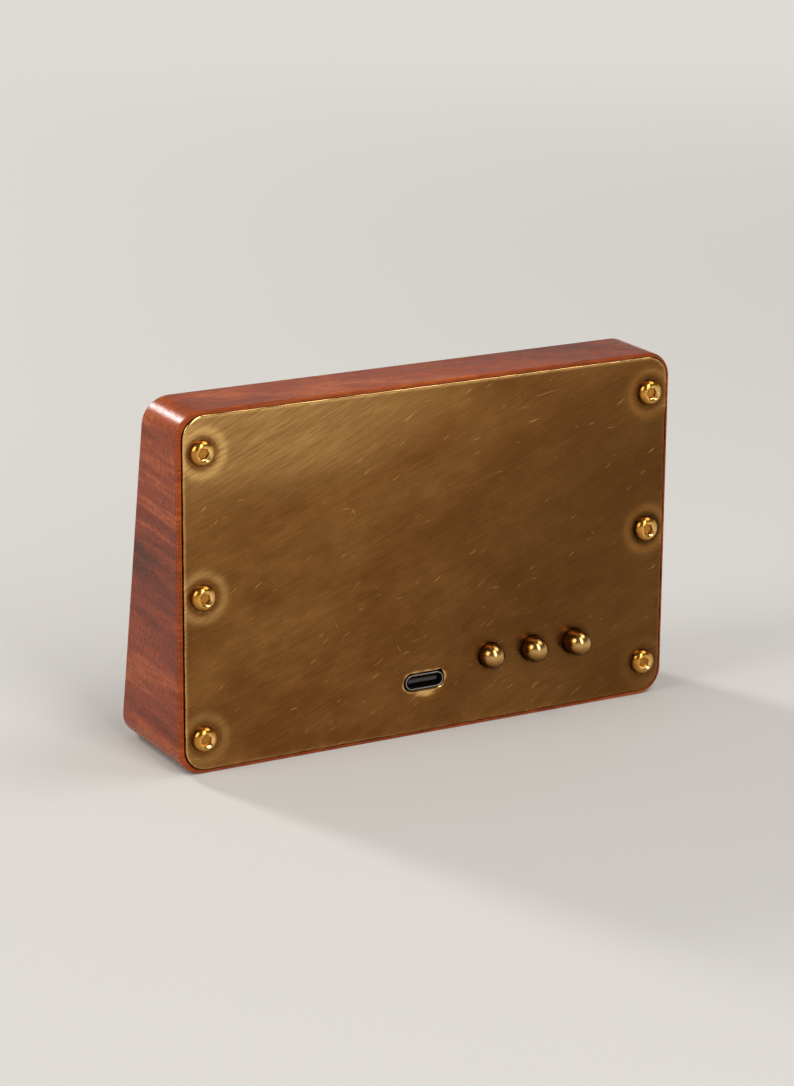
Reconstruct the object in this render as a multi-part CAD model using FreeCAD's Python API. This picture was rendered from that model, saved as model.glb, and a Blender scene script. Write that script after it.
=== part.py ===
"""Four-digit nixie tube clock: wedge-shaped wooden case, brass back, three buttons, USB-C inlet.

Frame: millimetres, +Z up. The tubes face -Y and the brass back faces +Y. The origin is the
centre of the flat wooden underside, halfway between its front and back edges.

The front of the case leans back. Everything carried by the front wall is drawn upright in
"front coordinates" and then leant: X to the right, Y = depth square into the front face,
Z = distance up the front face from its lower edge.
"""
import FreeCAD, Part
import math
import os

from FreeCAD import Vector

past = 1.0                   # how far a cut runs beyond the face that it opens

# ---------------------------------------------------------------- driving dimensions (mm)
# Case
depth_bottom = 28.0          # front to back at the underside
depth_top = 15.0             # front to back at the top
case_height = 75.0
case_corner_radius = 5.5
side_margin = 6.6            # wood beside the outer tube's glass
side_wall = 5.0
floor_wall = 4.5
roof_wall = 4.5
front_wall = 5.0             # square to the leaning front
cavity_corner_radius = 4.0

# Back plate, let into a rebate whose lips differ a little on each side
plate_thickness = 1.0
lip_left = 0.45              # -X side
lip_right = 1.15             # +X side
lip_top = 0.85
lip_bottom = 0.60
rebate_corner_radius = 4.8
plate_gap = 0.05
plate_gap_right = 0.35

# Plate screws and their threaded inserts
screw_inset_side = 4.2
screw_inset_bottom = 6.6
screw_inset_top = 7.65
screw_shank_diameter = 2.9
screw_length = 6.0
screw_head_diameter = 5.4
screw_head_height = 1.6
screw_head_rim = 0.25        # short straight rim under the dome
hex_across_flats = 2.0
hex_depth = 1.0
screw_hole_clearance = 0.2   # on the radius, through the plate
insert_wall = 0.6
insert_length = 5.0
insert_hole_spare = 0.5      # hole deeper than the insert
boss_wall = 2.3              # wood round an insert
boss_length = 7.0
thread_gap = 0.05            # on the radius, between any screw and its nut or insert

# Tubes
tube_width = 21.0
tube_face_height = 31.0
tube_length = 23.5           # glass, front face to foot
tube_centre_up_front = 41.0  # distance up the leaning front
glass_wall = 1.0
glass_edge_radius = 1.8
glass_inside_radius = 0.8
foot_thickness = 2.0
foot_gap = 0.05              # glass foot inside the end of the glass
pins_per_tube = 12
pin_diameter = 1.0
pin_side_inset = 2.9         # pins' oval inside the anode's side
pin_end_inset = 2.0          # and inside its ends
pin_stub = 1.9               # beyond the back of the display board
pin_gap = 0.05

# Electrodes inside each tube
mesh_gap = 2.0               # glass to anode mesh
anode_side_gap = 1.0         # anode inside the glass's wall, at the sides
anode_end_gap = 1.5          # and at the ends
anode_wall = 0.3
mesh_wire = 0.12
mesh_pitch = 1.4
digit_side_gap = 3.4         # numerals inside the can, at the sides
digit_end_gap = 3.95         # and at the ends
digit_stroke = 0.5
digit_thickness = 0.2
digit_pitch = 0.85
digit_count = 10
rod_diameter = 0.8
rod_end_inset = 2.1          # rods' centres inside the ends of the can
tab_gap = 0.02
two_neck_degrees = -35       # where the 2's hook meets its diagonal
two_start_degrees = 170
three_end_degrees = 160
tab_share = 0.44             # the shares are of half the numeral's width or height
four_stem_share = 0.4
four_bar_share = 0.3
five_corner_share = 0.8
five_start_degrees = 143.13
five_end_degrees = -150
seven_foot_share = 0.4
eight_upper_share = 0.47
tail_across_share = 0.43     # where the tails of the 6 and the 9 end
tail_up_share = 0.81

# Bezel rings round the tubes, and the colon between the middle two
bezel_clearance = 0.2
bezel_sleeve_wall = 0.7
bezel_flange = 0.5           # flange beyond the sleeve
bezel_flange_thickness = 0.8
bezel_chamfer = 0.24
bezel_sleeve_length = 4.5
bezel_spacing = 0.6          # between neighbouring flanges
wood_gap = 0.05              # any metal piece in its hole in the wood
colon_spacing = 11.0
lamp_diameter = 4.0
lamp_length = 10.0
lamp_proud = 1.2             # lamp's dome in front of the wood
lamp_clearance = 0.1
lamp_glass_wall = 0.35
lamp_seal_thickness = 1.0
electrode_diameter = 0.5
electrode_spacing = 1.2
electrode_length = 4.0       # inside the lamp
eyelet_wall = 0.4
eyelet_flange = 0.5
eyelet_flange_thickness = 0.5
eyelet_length = 4.0

# Display board, behind the front wall and parallel to it
board_thickness = 1.6
board_below_tubes = 7.5          # board's lower edge below the tubes' lower ends
board_above_tubes = 8.0
display_board_side_gap = 5.5     # inside the cavity's side wall
board_back_gap = 2.7             # between the board's top edge and the back plate
socket_thickness = 2.2
socket_side_inset = 1.5          # socket inside the glass's outline, at the sides
socket_end_inset = 2.0           # and at the ends
socket_seat_gap = 0.3            # glass foot to socket

# Fixings of both boards: hexagonal pillars with a stud, and a pan-head screw into each
pillar_across_flats = 5.0
pillar_bore = 2.5
stud_diameter = 2.9
front_stud_length = 4.0
floor_stud_length = 3.0
board_hole_clearance = 0.25      # on the radius
board_screw_length = 3.0         # below the board, inside the pillar
board_screw_head_diameter = 4.6
board_screw_head_height = 1.6
board_screw_head_round = 0.64
bore_spare = 0.5                 # bore deeper than the screw
bore_floor = 0.3                 # left under the bore in a short pillar
slot_width = 0.8
slot_depth = 0.8
fixing_edge_inset = 3.0          # pillar centre from the board's edges

# Control board, level, on short pillars
control_pillar_height = 3.7
control_side_gap = 7.5           # inside the cavity's side wall
control_back_gap = 0.4           # inside the back plate
control_front_gap = 1.0          # inside the front wall

# USB-C inlet
usb_width = 8.94
usb_height = 3.26
usb_shell_wall = 0.3
usb_length = 7.35
usb_x = 0.9
usb_proud = 0.1                  # mouth beyond the back plate
usb_slot_clearance = 0.4
usb_block_length = 2.4           # insulator that closes the shell's inner end
usb_tongue_width = 6.6
usb_tongue_thickness = 0.7
usb_tongue_setback = 1.0         # from the mouth
usb_contact_count = 12           # on each side of the tongue
usb_contact_pitch = 0.5
usb_contact_width = 0.25
usb_contact_length = 3.2
usb_contact_height = 0.06
usb_contact_setback = 0.3        # from the tongue's tip
usb_fit = 0.02

# Buttons: domed brass caps on the stems of three push switches
button_count = 3
button_edge_inset = 9.44         # last button's centre inside the control board's end
button_pitch = 10.16
button_diameter = 5.3
button_first_rise = 0.9          # start of the dome beyond the plate
button_rise_step = 0.6           # each next cap sits this much further out
button_hole_clearance = 0.1      # on the radius
button_above_board = 4.8
switch_width = 6.0
switch_height = 6.0
switch_depth = 3.6
switch_setback = 5.5             # from the plate's inner face
switch_front_wall = 0.8
switch_foot_width = 4.6
chamber_diameter = 5.0
chamber_depth = 2.0              # behind the switch's front wall
stem_diameter = 3.5
stem_length = 4.0                # out of the switch
stem_gap = 0.05                  # in the switch's front wall
collar_diameter = 4.6
collar_thickness = 0.6
cap_fit = 0.02                   # stem in the cap's bore
cap_switch_gap = 1.0
button_travel = 0.25
dome_spring_gap = 0.05           # left at full travel
dome_spring_thickness = 0.12
dome_spring_flat = 0.8           # radius of its flat top
dome_spring_rim_gap = 0.2        # to the chamber's wall
bracket_thickness = 0.3
bracket_drop = 1.2               # legs through the board
bracket_leg_depth = 1.4
bracket_hole_gap = 0.1

# Link between the boards: bent pins in a plastic strip
link_pin_count = 8
link_pin_pitch = 2.54
link_pin_size = 0.6
link_side_gap = 0.4              # strip beside the inlet
link_bend_gap = 1.3              # behind the display board
link_stub = 1.0                  # below the control board and in front of the display board
link_hole_up = 3.0               # above the display board's lower edge
link_strip_depth = 2.4
link_strip_height = 2.5
link_gap = 0.05

# Other parts on the boards
inductor_size = 6.0
inductor_height = 3.2
inductor_chamfer = 0.9
capacitor_diameter = 7.6
capacitor_height = 11.5
capacitor_round = 0.6
transistor_width = 6.6
transistor_depth = 5.6
transistor_height = 2.3
transistor_leg_length = 0.8
transistor_leg_offset = 2.3
transistor_tab_length = 1.0
transistor_tab_width = 5.2
back_part_gap = 0.4              # parts stay this far inside the board's back edge
front_part_gap = 0.5             # and this far from its front edge
part_spacing = 1.0               # between neighbours in a row
processor_size = 7.0
processor_height = 1.0
processor_legs = 8               # on a side
chip_height = 1.5
clock_chip_length = 5.0
clock_chip_width = 4.0
clock_chip_legs = 4
clock_chip_leg_pitch = 1.0
crystal_diameter = 2.0
crystal_length = 6.0
driver_length = 10.0
driver_width = 4.0
driver_legs = 8
driver_leg_pitch = 1.2
leg_length = 0.8
leg_width = 0.4
leg_thickness = 0.2
leg_root = 0.3                   # inside the moulding
cell_diameter = 12.5
cell_thickness = 2.0
holder_wall = 0.8
holder_floor = 0.8
holder_fit = 0.1
resistor_diameter = 2.3
resistor_length = 6.0
resistor_lead_diameter = 0.6
resistor_lead_reach = 1.5        # from the body's end to the upright leg
resistor_rise = 4.0              # above the topmost pins

# ---------------------------------------------------------------- worked-out places
lean_angle = math.atan((depth_bottom - depth_top) / case_height)
lean_cos = math.cos(lean_angle)
lean_sin = math.sin(lean_angle)
back_y = depth_bottom / 2
front_foot_y = -depth_bottom / 2
plate_inner_y = back_y - plate_thickness

bezel_width = tube_width + 2 * (bezel_clearance + bezel_sleeve_wall + bezel_flange)
eyelet_outer = lamp_diameter + 2 * (lamp_clearance + eyelet_wall)
eyelet_width = eyelet_outer + 2 * eyelet_flange
inner_tube_x = (eyelet_width + bezel_width) / 2 + bezel_spacing
outer_tube_x = inner_tube_x + bezel_width + bezel_spacing
tube_xs = (-outer_tube_x, -inner_tube_x, inner_tube_x, outer_tube_x)
case_half_width = outer_tube_x + tube_width / 2 + side_margin
cavity_half_width = case_half_width - side_wall
cavity_top = case_height - roof_wall

rebate_left = -case_half_width + lip_left
rebate_right = case_half_width - lip_right
rebate_bottom = lip_bottom
rebate_top = case_height - lip_top
plate_left = rebate_left + plate_gap
plate_right = rebate_right - plate_gap_right
plate_bottom = rebate_bottom + plate_gap
plate_top = rebate_top - plate_gap

screw_xs = (plate_left + screw_inset_side, plate_right - screw_inset_side)
screw_low = plate_bottom + screw_inset_bottom
screw_high = plate_top - screw_inset_top
screw_zs = (screw_low, (screw_low + screw_high) / 2, screw_high)
insert_bore_radius = screw_shank_diameter / 2 + thread_gap
insert_radius = insert_bore_radius + insert_wall

anode_width = tube_width - 2 * (glass_wall + anode_side_gap)
anode_height = tube_face_height - 2 * (glass_wall + anode_end_gap)
can_inner_width = anode_width - 2 * anode_wall
can_inner_height = anode_height - 2 * anode_wall
digit_width = can_inner_width - 2 * digit_side_gap
digit_height = can_inner_height - 2 * digit_end_gap
rod_offset = can_inner_height / 2 - rod_end_inset
pin_ring_half_width = anode_width / 2 - pin_side_inset
pin_ring_half_height = anode_height / 2 - pin_end_inset

display_half_width = cavity_half_width - display_board_side_gap
display_board_bottom_up = tube_centre_up_front - tube_face_height / 2 - board_below_tubes
display_board_top_up = tube_centre_up_front + tube_face_height / 2 + board_above_tubes
display_back = ((plate_inner_y - board_back_gap - front_foot_y
                 - display_board_top_up * lean_sin) / lean_cos)
display_front = display_back - board_thickness
tube_foot_depth = display_front - socket_thickness - socket_seat_gap
tube_front_depth = tube_foot_depth - tube_length
anode_front_depth = tube_front_depth + glass_wall + mesh_gap
first_digit_depth = anode_front_depth + 2 * mesh_wire + digit_pitch - digit_thickness
rod_end_depth = first_digit_depth + digit_count * digit_pitch
anode_back_depth = rod_end_depth + anode_wall

control_bottom = floor_wall + control_pillar_height
control_top = control_bottom + board_thickness
control_half_width = cavity_half_width - control_side_gap
control_back_y = plate_inner_y - control_back_gap
control_front_y = (front_foot_y + front_wall / lean_cos
                   + control_top * math.tan(lean_angle) + control_front_gap)

usb_z = control_top + usb_height / 2
usb_mouth_y = back_y + usb_proud
usb_inner_y = usb_mouth_y - usb_length
button_z = control_top + button_above_board
last_button_x = button_edge_inset - control_half_width
button_xs = tuple(last_button_x + (button_count - 1 - i) * button_pitch for i in range(button_count))
button_rises = tuple(button_first_rise + i * button_rise_step for i in range(button_count))
switch_front_y = plate_inner_y - switch_setback
switch_back_y = switch_front_y - switch_depth
chamber_front_y = switch_front_y - switch_front_wall
collar_back_y = chamber_front_y - collar_thickness
chamber_back_y = chamber_front_y - chamber_depth

link_pin_up = display_board_bottom_up + link_hole_up
link_first_x = usb_x + usb_width / 2 + link_side_gap + link_pin_pitch / 2
link_xs = tuple(link_first_x + i * link_pin_pitch for i in range(link_pin_count))

# The supply's parts run inwards from the screws at the board's right end, and the processor,
# clock chip and crystal run left from the inlet.
supply_end_x = (control_half_width - fixing_edge_inset - board_screw_head_diameter / 2
                - part_spacing)
capacitor_x = supply_end_x - capacitor_diameter / 2
inductor_x = supply_end_x - inductor_size / 2
transistor_x = inductor_x - (inductor_size + transistor_width) / 2 - part_spacing
processor_x = usb_x
clock_chip_x = processor_x - (processor_size + clock_chip_length) / 2 - part_spacing
crystal_x = clock_chip_x - (clock_chip_length + crystal_diameter) / 2 - part_spacing


# ---------------------------------------------------------------- shape helpers
def lean(shape):
    """Takes a shape from front coordinates to its place on the leaning front."""
    leant = shape.copy()
    leant.rotate(Vector(0, 0, 0), Vector(1, 0, 0), -math.degrees(lean_angle))
    leant.translate(Vector(0, front_foot_y, 0))
    return leant


def leant_point(depth, up):
    """The (y, z) of a point given by its depth into the front and its distance up it."""
    return (front_foot_y + depth * lean_cos + up * lean_sin, up * lean_cos - depth * lean_sin)


def box(x0, x1, y0, y1, z0, z1):
    """A box between two corners."""
    return Part.makeBox(x1 - x0, y1 - y0, z1 - z0, Vector(x0, y0, z0))


def rod_y(radius, x, z, y0, y1):
    """A round bar along Y."""
    return Part.makeCylinder(radius, y1 - y0, Vector(x, y0, z), Vector(0, 1, 0))


def rod_z(radius, x, y, z0, z1):
    """A round bar along Z."""
    return Part.makeCylinder(radius, z1 - z0, Vector(x, y, z0), Vector(0, 0, 1))


def rounded_block(x0, x1, z0, z1, radius, y0, y1):
    """A block with its four edges along Y rounded."""
    corners = ((x1 - radius, z1 - radius, 0), (x0 + radius, z1 - radius, 90),
               (x0 + radius, z0 + radius, 180), (x1 - radius, z0 + radius, 270))
    edges = []
    previous = None
    for cx, cz, start in corners:
        points = []
        for turn in (0, 45, 90):
            angle = math.radians(start + turn)
            points.append(Vector(cx + radius * math.cos(angle), y0, cz + radius * math.sin(angle)))
        if previous is not None and not previous.isEqual(points[0], 1e-6):
            edges.append(Part.LineSegment(previous, points[0]).toShape())
        edges.append(Part.Arc(*points).toShape())
        previous = points[-1]
    first = edges[0].Vertexes[0].Point
    if not previous.isEqual(first, 1e-6):
        edges.append(Part.LineSegment(previous, first).toShape())
    face = Part.Face(Part.Wire(Part.__sortEdges__(edges)))
    return face.extrude(Vector(0, y1 - y0, 0))


def obround(width, height, x, z, y0, y1):
    """A round-ended bar along Y, centred on x and z."""
    radius = min(width, height) / 2
    return rounded_block(x - width / 2, x + width / 2, z - height / 2, z + height / 2, radius, y0, y1)


def hexagon_bar(across_flats, start, direction, length):
    """A hexagonal bar from a start point along a direction."""
    radius = across_flats / math.sqrt(3)
    corners = []
    for i in range(7):
        angle = math.radians(60 * i)
        corners.append(Vector(radius * math.cos(angle), radius * math.sin(angle), 0))
    bar = Part.Face(Part.makePolygon(corners)).extrude(Vector(0, 0, length))
    turn = FreeCAD.Rotation(Vector(0, 0, 1), direction)
    bar.Placement = FreeCAD.Placement(start, turn)
    return bar


def prism_x(profile, x0, x1):
    """A prism along X from a closed list of (y, z) corners."""
    corners = [Vector(x0, y, z) for y, z in profile]
    corners.append(corners[0])
    return Part.Face(Part.makePolygon(corners)).extrude(Vector(x1 - x0, 0, 0))


def turned(profile, base, direction):
    """A turned solid from a closed (radius, height) profile, standing on base."""
    corners = [Vector(r, 0, h) for r, h in profile]
    corners.append(corners[0])
    solid = Part.Face(Part.makePolygon(corners)).revolve(Vector(0, 0, 0), Vector(0, 0, 1), 360)
    solid.Placement = FreeCAD.Placement(base, FreeCAD.Rotation(Vector(0, 0, 1), direction))
    return solid


def joined(shapes):
    """One solid out of overlapping or touching shapes."""
    solids = [solid for shape in shapes for solid in shape.Solids]
    if len(solids) == 1:
        return solids[0]
    fused = solids[0].multiFuse(solids[1:]).removeSplitter()
    return fused.Solids[0] if len(fused.Solids) == 1 else fused


def cap_of_sphere(base_radius, height, x, z, y):
    """A low dome on a plane at y, bulging towards +Y."""
    radius = (base_radius ** 2 + height ** 2) / (2 * height)
    ball = Part.makeSphere(radius, Vector(x, y + height - radius, z))
    return ball.common(rod_y(base_radius, x, z, y, y + height))


# ---------------------------------------------------------------- case and back
def outer_block():
    """The wedge with its rounded corners, before it is hollowed."""
    sides = rounded_block(-case_half_width, case_half_width, 0, case_height,
                          case_corner_radius, front_foot_y, back_y)
    wedge = prism_x([(front_foot_y, 0), (back_y, 0), (back_y, case_height),
                     (back_y - depth_top, case_height)], -case_half_width, case_half_width)
    return sides.common(wedge)


def cavity():
    """The hollow milled from the back, which leaves wood round each insert."""
    def inner_y(z):
        return front_foot_y + front_wall / lean_cos + z * math.tan(lean_angle)

    room = rounded_block(-cavity_half_width, cavity_half_width, floor_wall, cavity_top,
                         cavity_corner_radius, front_foot_y, plate_inner_y)
    wedge = prism_x([(inner_y(floor_wall), floor_wall), (plate_inner_y, floor_wall),
                     (plate_inner_y, cavity_top), (inner_y(cavity_top), cavity_top)],
                    -cavity_half_width, cavity_half_width)
    room = room.common(wedge)
    bosses = [rod_y(insert_radius + boss_wall, x, z, plate_inner_y - boss_length, plate_inner_y)
              for x in screw_xs for z in screw_zs]
    return room.cut(bosses)


def wooden_case():
    """The case, with its windows, colon holes, rebate, insert holes and stud holes."""
    cuts = [cavity(),
            rounded_block(rebate_left, rebate_right, rebate_bottom, rebate_top,
                          rebate_corner_radius, plate_inner_y, back_y + past)]
    sleeve = 2 * (bezel_clearance + bezel_sleeve_wall + wood_gap)
    for x in tube_xs:
        cuts.append(lean(obround(tube_width + sleeve, tube_face_height + sleeve,
                                 x, tube_centre_up_front, -past, front_wall + past)))
    for up in colon_ups():
        cuts.append(lean(rod_y(eyelet_outer / 2 + wood_gap, 0, up, -past, front_wall + past)))
    for x in screw_xs:
        for z in screw_zs:
            cuts.append(rod_y(insert_radius + wood_gap, x, z,
                              plate_inner_y - insert_length - insert_hole_spare, plate_inner_y))
    stud_radius = stud_diameter / 2 + wood_gap
    for x, up in display_fixings():
        cuts.append(lean(rod_y(stud_radius, x, up, front_wall - front_stud_length, front_wall + past)))
    for x, y in control_fixings():
        cuts.append(rod_z(stud_radius, x, y, floor_wall - floor_stud_length, floor_wall + past))
    return outer_block().cut(cuts)


def back_plate():
    """The brass plate, with its screw holes, button holes and inlet slot."""
    plate = rounded_block(plate_left, plate_right, plate_bottom, plate_top,
                          rebate_corner_radius - plate_gap, plate_inner_y, back_y)
    cuts = [rod_y(screw_shank_diameter / 2 + screw_hole_clearance, x, z, plate_inner_y - past, back_y + past)
            for x in screw_xs for z in screw_zs]
    for x in button_xs:
        cuts.append(rod_y(button_diameter / 2 + button_hole_clearance, x, button_z,
                          plate_inner_y - past, back_y + past))
    cuts.append(obround(usb_width + 2 * usb_slot_clearance, usb_height + 2 * usb_slot_clearance,
                        usb_x, usb_z, plate_inner_y - past, back_y + past))
    return plate.cut(cuts)


def plate_screw(x, z):
    """A button-head screw with a hexagon socket."""
    radius = screw_head_diameter / 2
    head = joined([rod_y(radius, x, z, back_y, back_y + screw_head_rim),
                   cap_of_sphere(radius, screw_head_height - screw_head_rim, x, z,
                                 back_y + screw_head_rim)])
    shank = rod_y(screw_shank_diameter / 2, x, z, back_y - screw_length, back_y)
    socket = hexagon_bar(hex_across_flats, Vector(x, back_y + screw_head_height - hex_depth, z),
                         Vector(0, 1, 0), hex_depth + past)
    return joined([head, shank]).cut(socket)


def threaded_insert(x, z):
    """A plain brass insert, glued into the wood flush with the rebate's floor."""
    outer = rod_y(insert_radius, x, z, plate_inner_y - insert_length, plate_inner_y)
    return outer.cut(rod_y(insert_bore_radius, x, z, plate_inner_y - insert_length - past,
                           plate_inner_y + past))


# ---------------------------------------------------------------- boards and their fixings
def display_fixings():
    """Centres (x, up) of the display board's four pillars."""
    x = display_half_width - fixing_edge_inset
    ups = (display_board_bottom_up + fixing_edge_inset, display_board_top_up - fixing_edge_inset)
    return [(sx * x, up) for sx in (-1, 1) for up in ups]


def control_fixings():
    """Centres (x, y) of the control board's four pillars."""
    x = control_half_width - fixing_edge_inset
    ys = (control_front_y + fixing_edge_inset, control_back_y - fixing_edge_inset)
    return [(sx * x, y) for sx in (-1, 1) for y in ys]


def colon_ups():
    """Distances up the front of the two colon lamps."""
    return (tube_centre_up_front - colon_spacing / 2, tube_centre_up_front + colon_spacing / 2)


def bore_depth(pillar_height):
    """Depth of the tapped bore in a pillar's head."""
    return min(board_screw_length + bore_spare, pillar_height - bore_floor)


def pillar(start, direction, height, stud_length):
    """A hexagonal pillar with a stud at its foot and a tapped bore at its head."""
    away = Vector(direction).multiply(-1)
    body = hexagon_bar(pillar_across_flats, start, direction, height)
    stud = Part.makeCylinder(stud_diameter / 2, stud_length, start, away)
    mouth = start + Vector(direction).multiply(height)
    bore = Part.makeCylinder(pillar_bore / 2, bore_depth(height), mouth, away)
    return joined([body, stud]).cut(bore)


def board_screw(seat, direction, pillar_height):
    """A slotted pan-head screw, its head seated on the board and pointing along direction."""
    outward = Vector(direction)
    away = Vector(direction).multiply(-1)
    head = Part.makeCylinder(board_screw_head_diameter / 2, board_screw_head_height, seat, outward)
    rim = max(head.Edges, key=lambda edge: edge.CenterOfMass.dot(outward))
    head = head.makeFillet(board_screw_head_round, [rim])
    reach = board_thickness + min(board_screw_length, bore_depth(pillar_height) - thread_gap)
    shank = Part.makeCylinder(pillar_bore / 2 - thread_gap, reach, seat, away)
    slot = Part.makeBox(board_screw_head_diameter + 2 * past, slot_width, slot_depth + past,
                        Vector(-board_screw_head_diameter / 2 - past, -slot_width / 2, 0))
    slot.Placement = FreeCAD.Placement(
        seat + Vector(direction).multiply(board_screw_head_height - slot_depth),
        FreeCAD.Rotation(Vector(0, 0, 1), outward))
    return joined([head, shank]).cut(slot)


def pin_places(x):
    """Centres of one tube's pins on their oval."""
    places = []
    for i in range(pins_per_tube):
        angle = math.radians(360 * (i + 0.5) / pins_per_tube)
        places.append((x + pin_ring_half_width * math.cos(angle),
                       tube_centre_up_front + pin_ring_half_height * math.sin(angle)))
    return places


def display_board():
    """The board that carries the tubes, drawn in front coordinates."""
    board = box(-display_half_width, display_half_width, display_front, display_back,
                display_board_bottom_up, display_board_top_up)
    holes = [rod_y(pin_diameter / 2 + pin_gap, px, pz, display_front - past, display_back + past)
             for x in tube_xs for px, pz in pin_places(x)]
    for x, up in display_fixings():
        holes.append(rod_y(pillar_bore / 2 + board_hole_clearance, x, up,
                           display_front - past, display_back + past))
    for up in colon_ups():
        for side in (-1, 1):
            holes.append(rod_y(electrode_diameter / 2 + pin_gap, side * electrode_spacing / 2, up,
                               display_front - past, display_back + past))
    half = link_pin_size / 2 + link_gap
    for x in link_xs:
        holes.append(box(x - half, x + half, display_front - past, display_back + past,
                         link_pin_up - half, link_pin_up + half))
    for x in tube_xs:
        for side in (-1, 1):
            holes.append(rod_y(resistor_lead_diameter / 2 + pin_gap, x + side * resistor_lead_x(),
                               resistor_up(), display_front - past, display_back + past))
    return board.cut(holes)


def link_line_y():
    """Y of the link pins' upright legs."""
    return leant_point(display_back + link_bend_gap + link_pin_size, link_pin_up)[0]


def control_board():
    """The level board that carries the inlet, the switches and the supply."""
    board = box(-control_half_width, control_half_width, control_front_y, control_back_y,
                control_bottom, control_top)
    holes = [rod_z(pillar_bore / 2 + board_hole_clearance, x, y, control_bottom - past, control_top + past)
             for x, y in control_fixings()]
    half = link_pin_size / 2 + link_gap
    y = link_line_y()
    for x in link_xs:
        holes.append(box(x - half, x + half, y - half, y + half, control_bottom - past, control_top + past))
    for x in button_xs:
        for side in (-1, 1):
            leg = x + side * (switch_width / 2 + bracket_thickness / 2)
            reach = bracket_thickness / 2 + bracket_hole_gap
            holes.append(box(leg - reach, leg + reach, bracket_leg_back() - bracket_hole_gap,
                             switch_front_y + bracket_hole_gap, control_bottom - past, control_top + past))
    return board.cut(holes)


# ---------------------------------------------------------------- tubes
def tube_glass(x):
    """The glass envelope: an open-backed oval cup with a rounded front edge."""
    outer = obround(tube_width, tube_face_height, x, tube_centre_up_front,
                    tube_front_depth, tube_foot_depth)
    front_edges = [e for e in outer.Edges if abs(e.BoundBox.YMax - tube_front_depth) < 1e-6]
    outer = outer.makeFillet(glass_edge_radius, front_edges)
    inner = obround(tube_width - 2 * glass_wall, tube_face_height - 2 * glass_wall, x,
                    tube_centre_up_front, tube_front_depth + glass_wall, tube_foot_depth + past)
    back_edges = [e for e in inner.Edges
                  if abs(e.BoundBox.YMax - tube_front_depth - glass_wall) < 1e-6]
    inner = inner.makeFillet(glass_inside_radius, back_edges)
    return outer.cut(inner)


def tube_foot(x):
    """The pressed glass foot that closes the envelope and holds the pins."""
    inset = 2 * (glass_wall + foot_gap)
    foot = obround(tube_width - inset, tube_face_height - inset, x, tube_centre_up_front,
                   tube_foot_depth - foot_thickness, tube_foot_depth)
    return foot.cut([rod_y(pin_diameter / 2 + pin_gap, px, pz, tube_foot_depth - foot_thickness - past,
                           tube_foot_depth + past) for px, pz in pin_places(x)])


def tube_pins(x):
    """The twelve pins, from the electrodes through foot, socket and board."""
    return [rod_y(pin_diameter / 2, px, pz, anode_back_depth, display_back + pin_stub)
            for px, pz in pin_places(x)]


def tube_socket(x):
    """The moulded socket on the display board."""
    socket = obround(tube_width - 2 * socket_side_inset, tube_face_height - 2 * socket_end_inset, x,
                     tube_centre_up_front, display_front - socket_thickness, display_front)
    return socket.cut([rod_y(pin_diameter / 2 + pin_gap, px, pz,
                             display_front - socket_thickness - past, display_front + past)
                       for px, pz in pin_places(x)])


def tube_anode(x):
    """The anode: an oval can behind a mesh of crossing wires, as separate solids."""
    z = tube_centre_up_front
    wall_front = anode_front_depth + 2 * mesh_wire
    can = obround(anode_width, anode_height, x, z, wall_front, anode_back_depth)
    can = can.cut(obround(can_inner_width, can_inner_height, x, z, wall_front - past, rod_end_depth))
    pieces = [can]
    half_width = anode_width / 2
    straight = (anode_height - anode_width) / 2
    upright_count = int((half_width - mesh_pitch / 2) / mesh_pitch)
    for i in range(-upright_count, upright_count + 1):
        offset = i * mesh_pitch
        reach = straight + math.sqrt(half_width ** 2 - offset ** 2)
        pieces.append(box(x + offset - mesh_wire / 2, x + offset + mesh_wire / 2,
                          anode_front_depth + mesh_wire, wall_front, z - reach, z + reach))
    level_count = int((anode_height / 2 - mesh_pitch / 2) / mesh_pitch)
    for i in range(-level_count, level_count + 1):
        offset = i * mesh_pitch
        beyond = max(abs(offset) - straight, 0)
        reach = math.sqrt(half_width ** 2 - beyond ** 2)
        pieces.append(box(x - reach, x + reach, anode_front_depth, anode_front_depth + mesh_wire,
                          z + offset - mesh_wire / 2, z + offset + mesh_wire / 2))
    return pieces


def straight_stroke(start, end):
    """A round-ended straight stroke between two (x, z) points, in the plane y = 0."""
    dx = end[0] - start[0]
    dz = end[1] - start[1]
    length = math.hypot(dx, dz)
    bar = rounded_block(-digit_stroke / 2, length + digit_stroke / 2, -digit_stroke / 2,
                        digit_stroke / 2, digit_stroke / 2 - 1e-3, 0, digit_thickness)
    bar.rotate(Vector(0, 0, 0), Vector(0, 1, 0), -math.degrees(math.atan2(dz, dx)))
    bar.translate(Vector(start[0], 0, start[1]))
    return bar


def arc_stroke(centre, radius, start_degrees, end_degrees):
    """A curved stroke about a centre, counted anticlockwise in degrees."""
    points = []
    for share in (0, 0.5, 1):
        angle = math.radians(start_degrees + share * (end_degrees - start_degrees))
        points.append(Vector(centre[0] + radius * math.cos(angle), 0,
                             centre[1] + radius * math.sin(angle)))
    outline = Part.Wire([Part.Arc(*points).toShape()]).makeOffset2D(digit_stroke / 2, 0, False)
    return Part.Face(outline).extrude(Vector(0, digit_thickness, 0))


def oval_ring(width, height, z):
    """A closed oval stroke."""
    outer = obround(width, height, 0, z, 0, digit_thickness)
    return outer.cut(obround(width - 2 * digit_stroke, height - 2 * digit_stroke, 0, z,
                             -past, digit_thickness + past))


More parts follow.
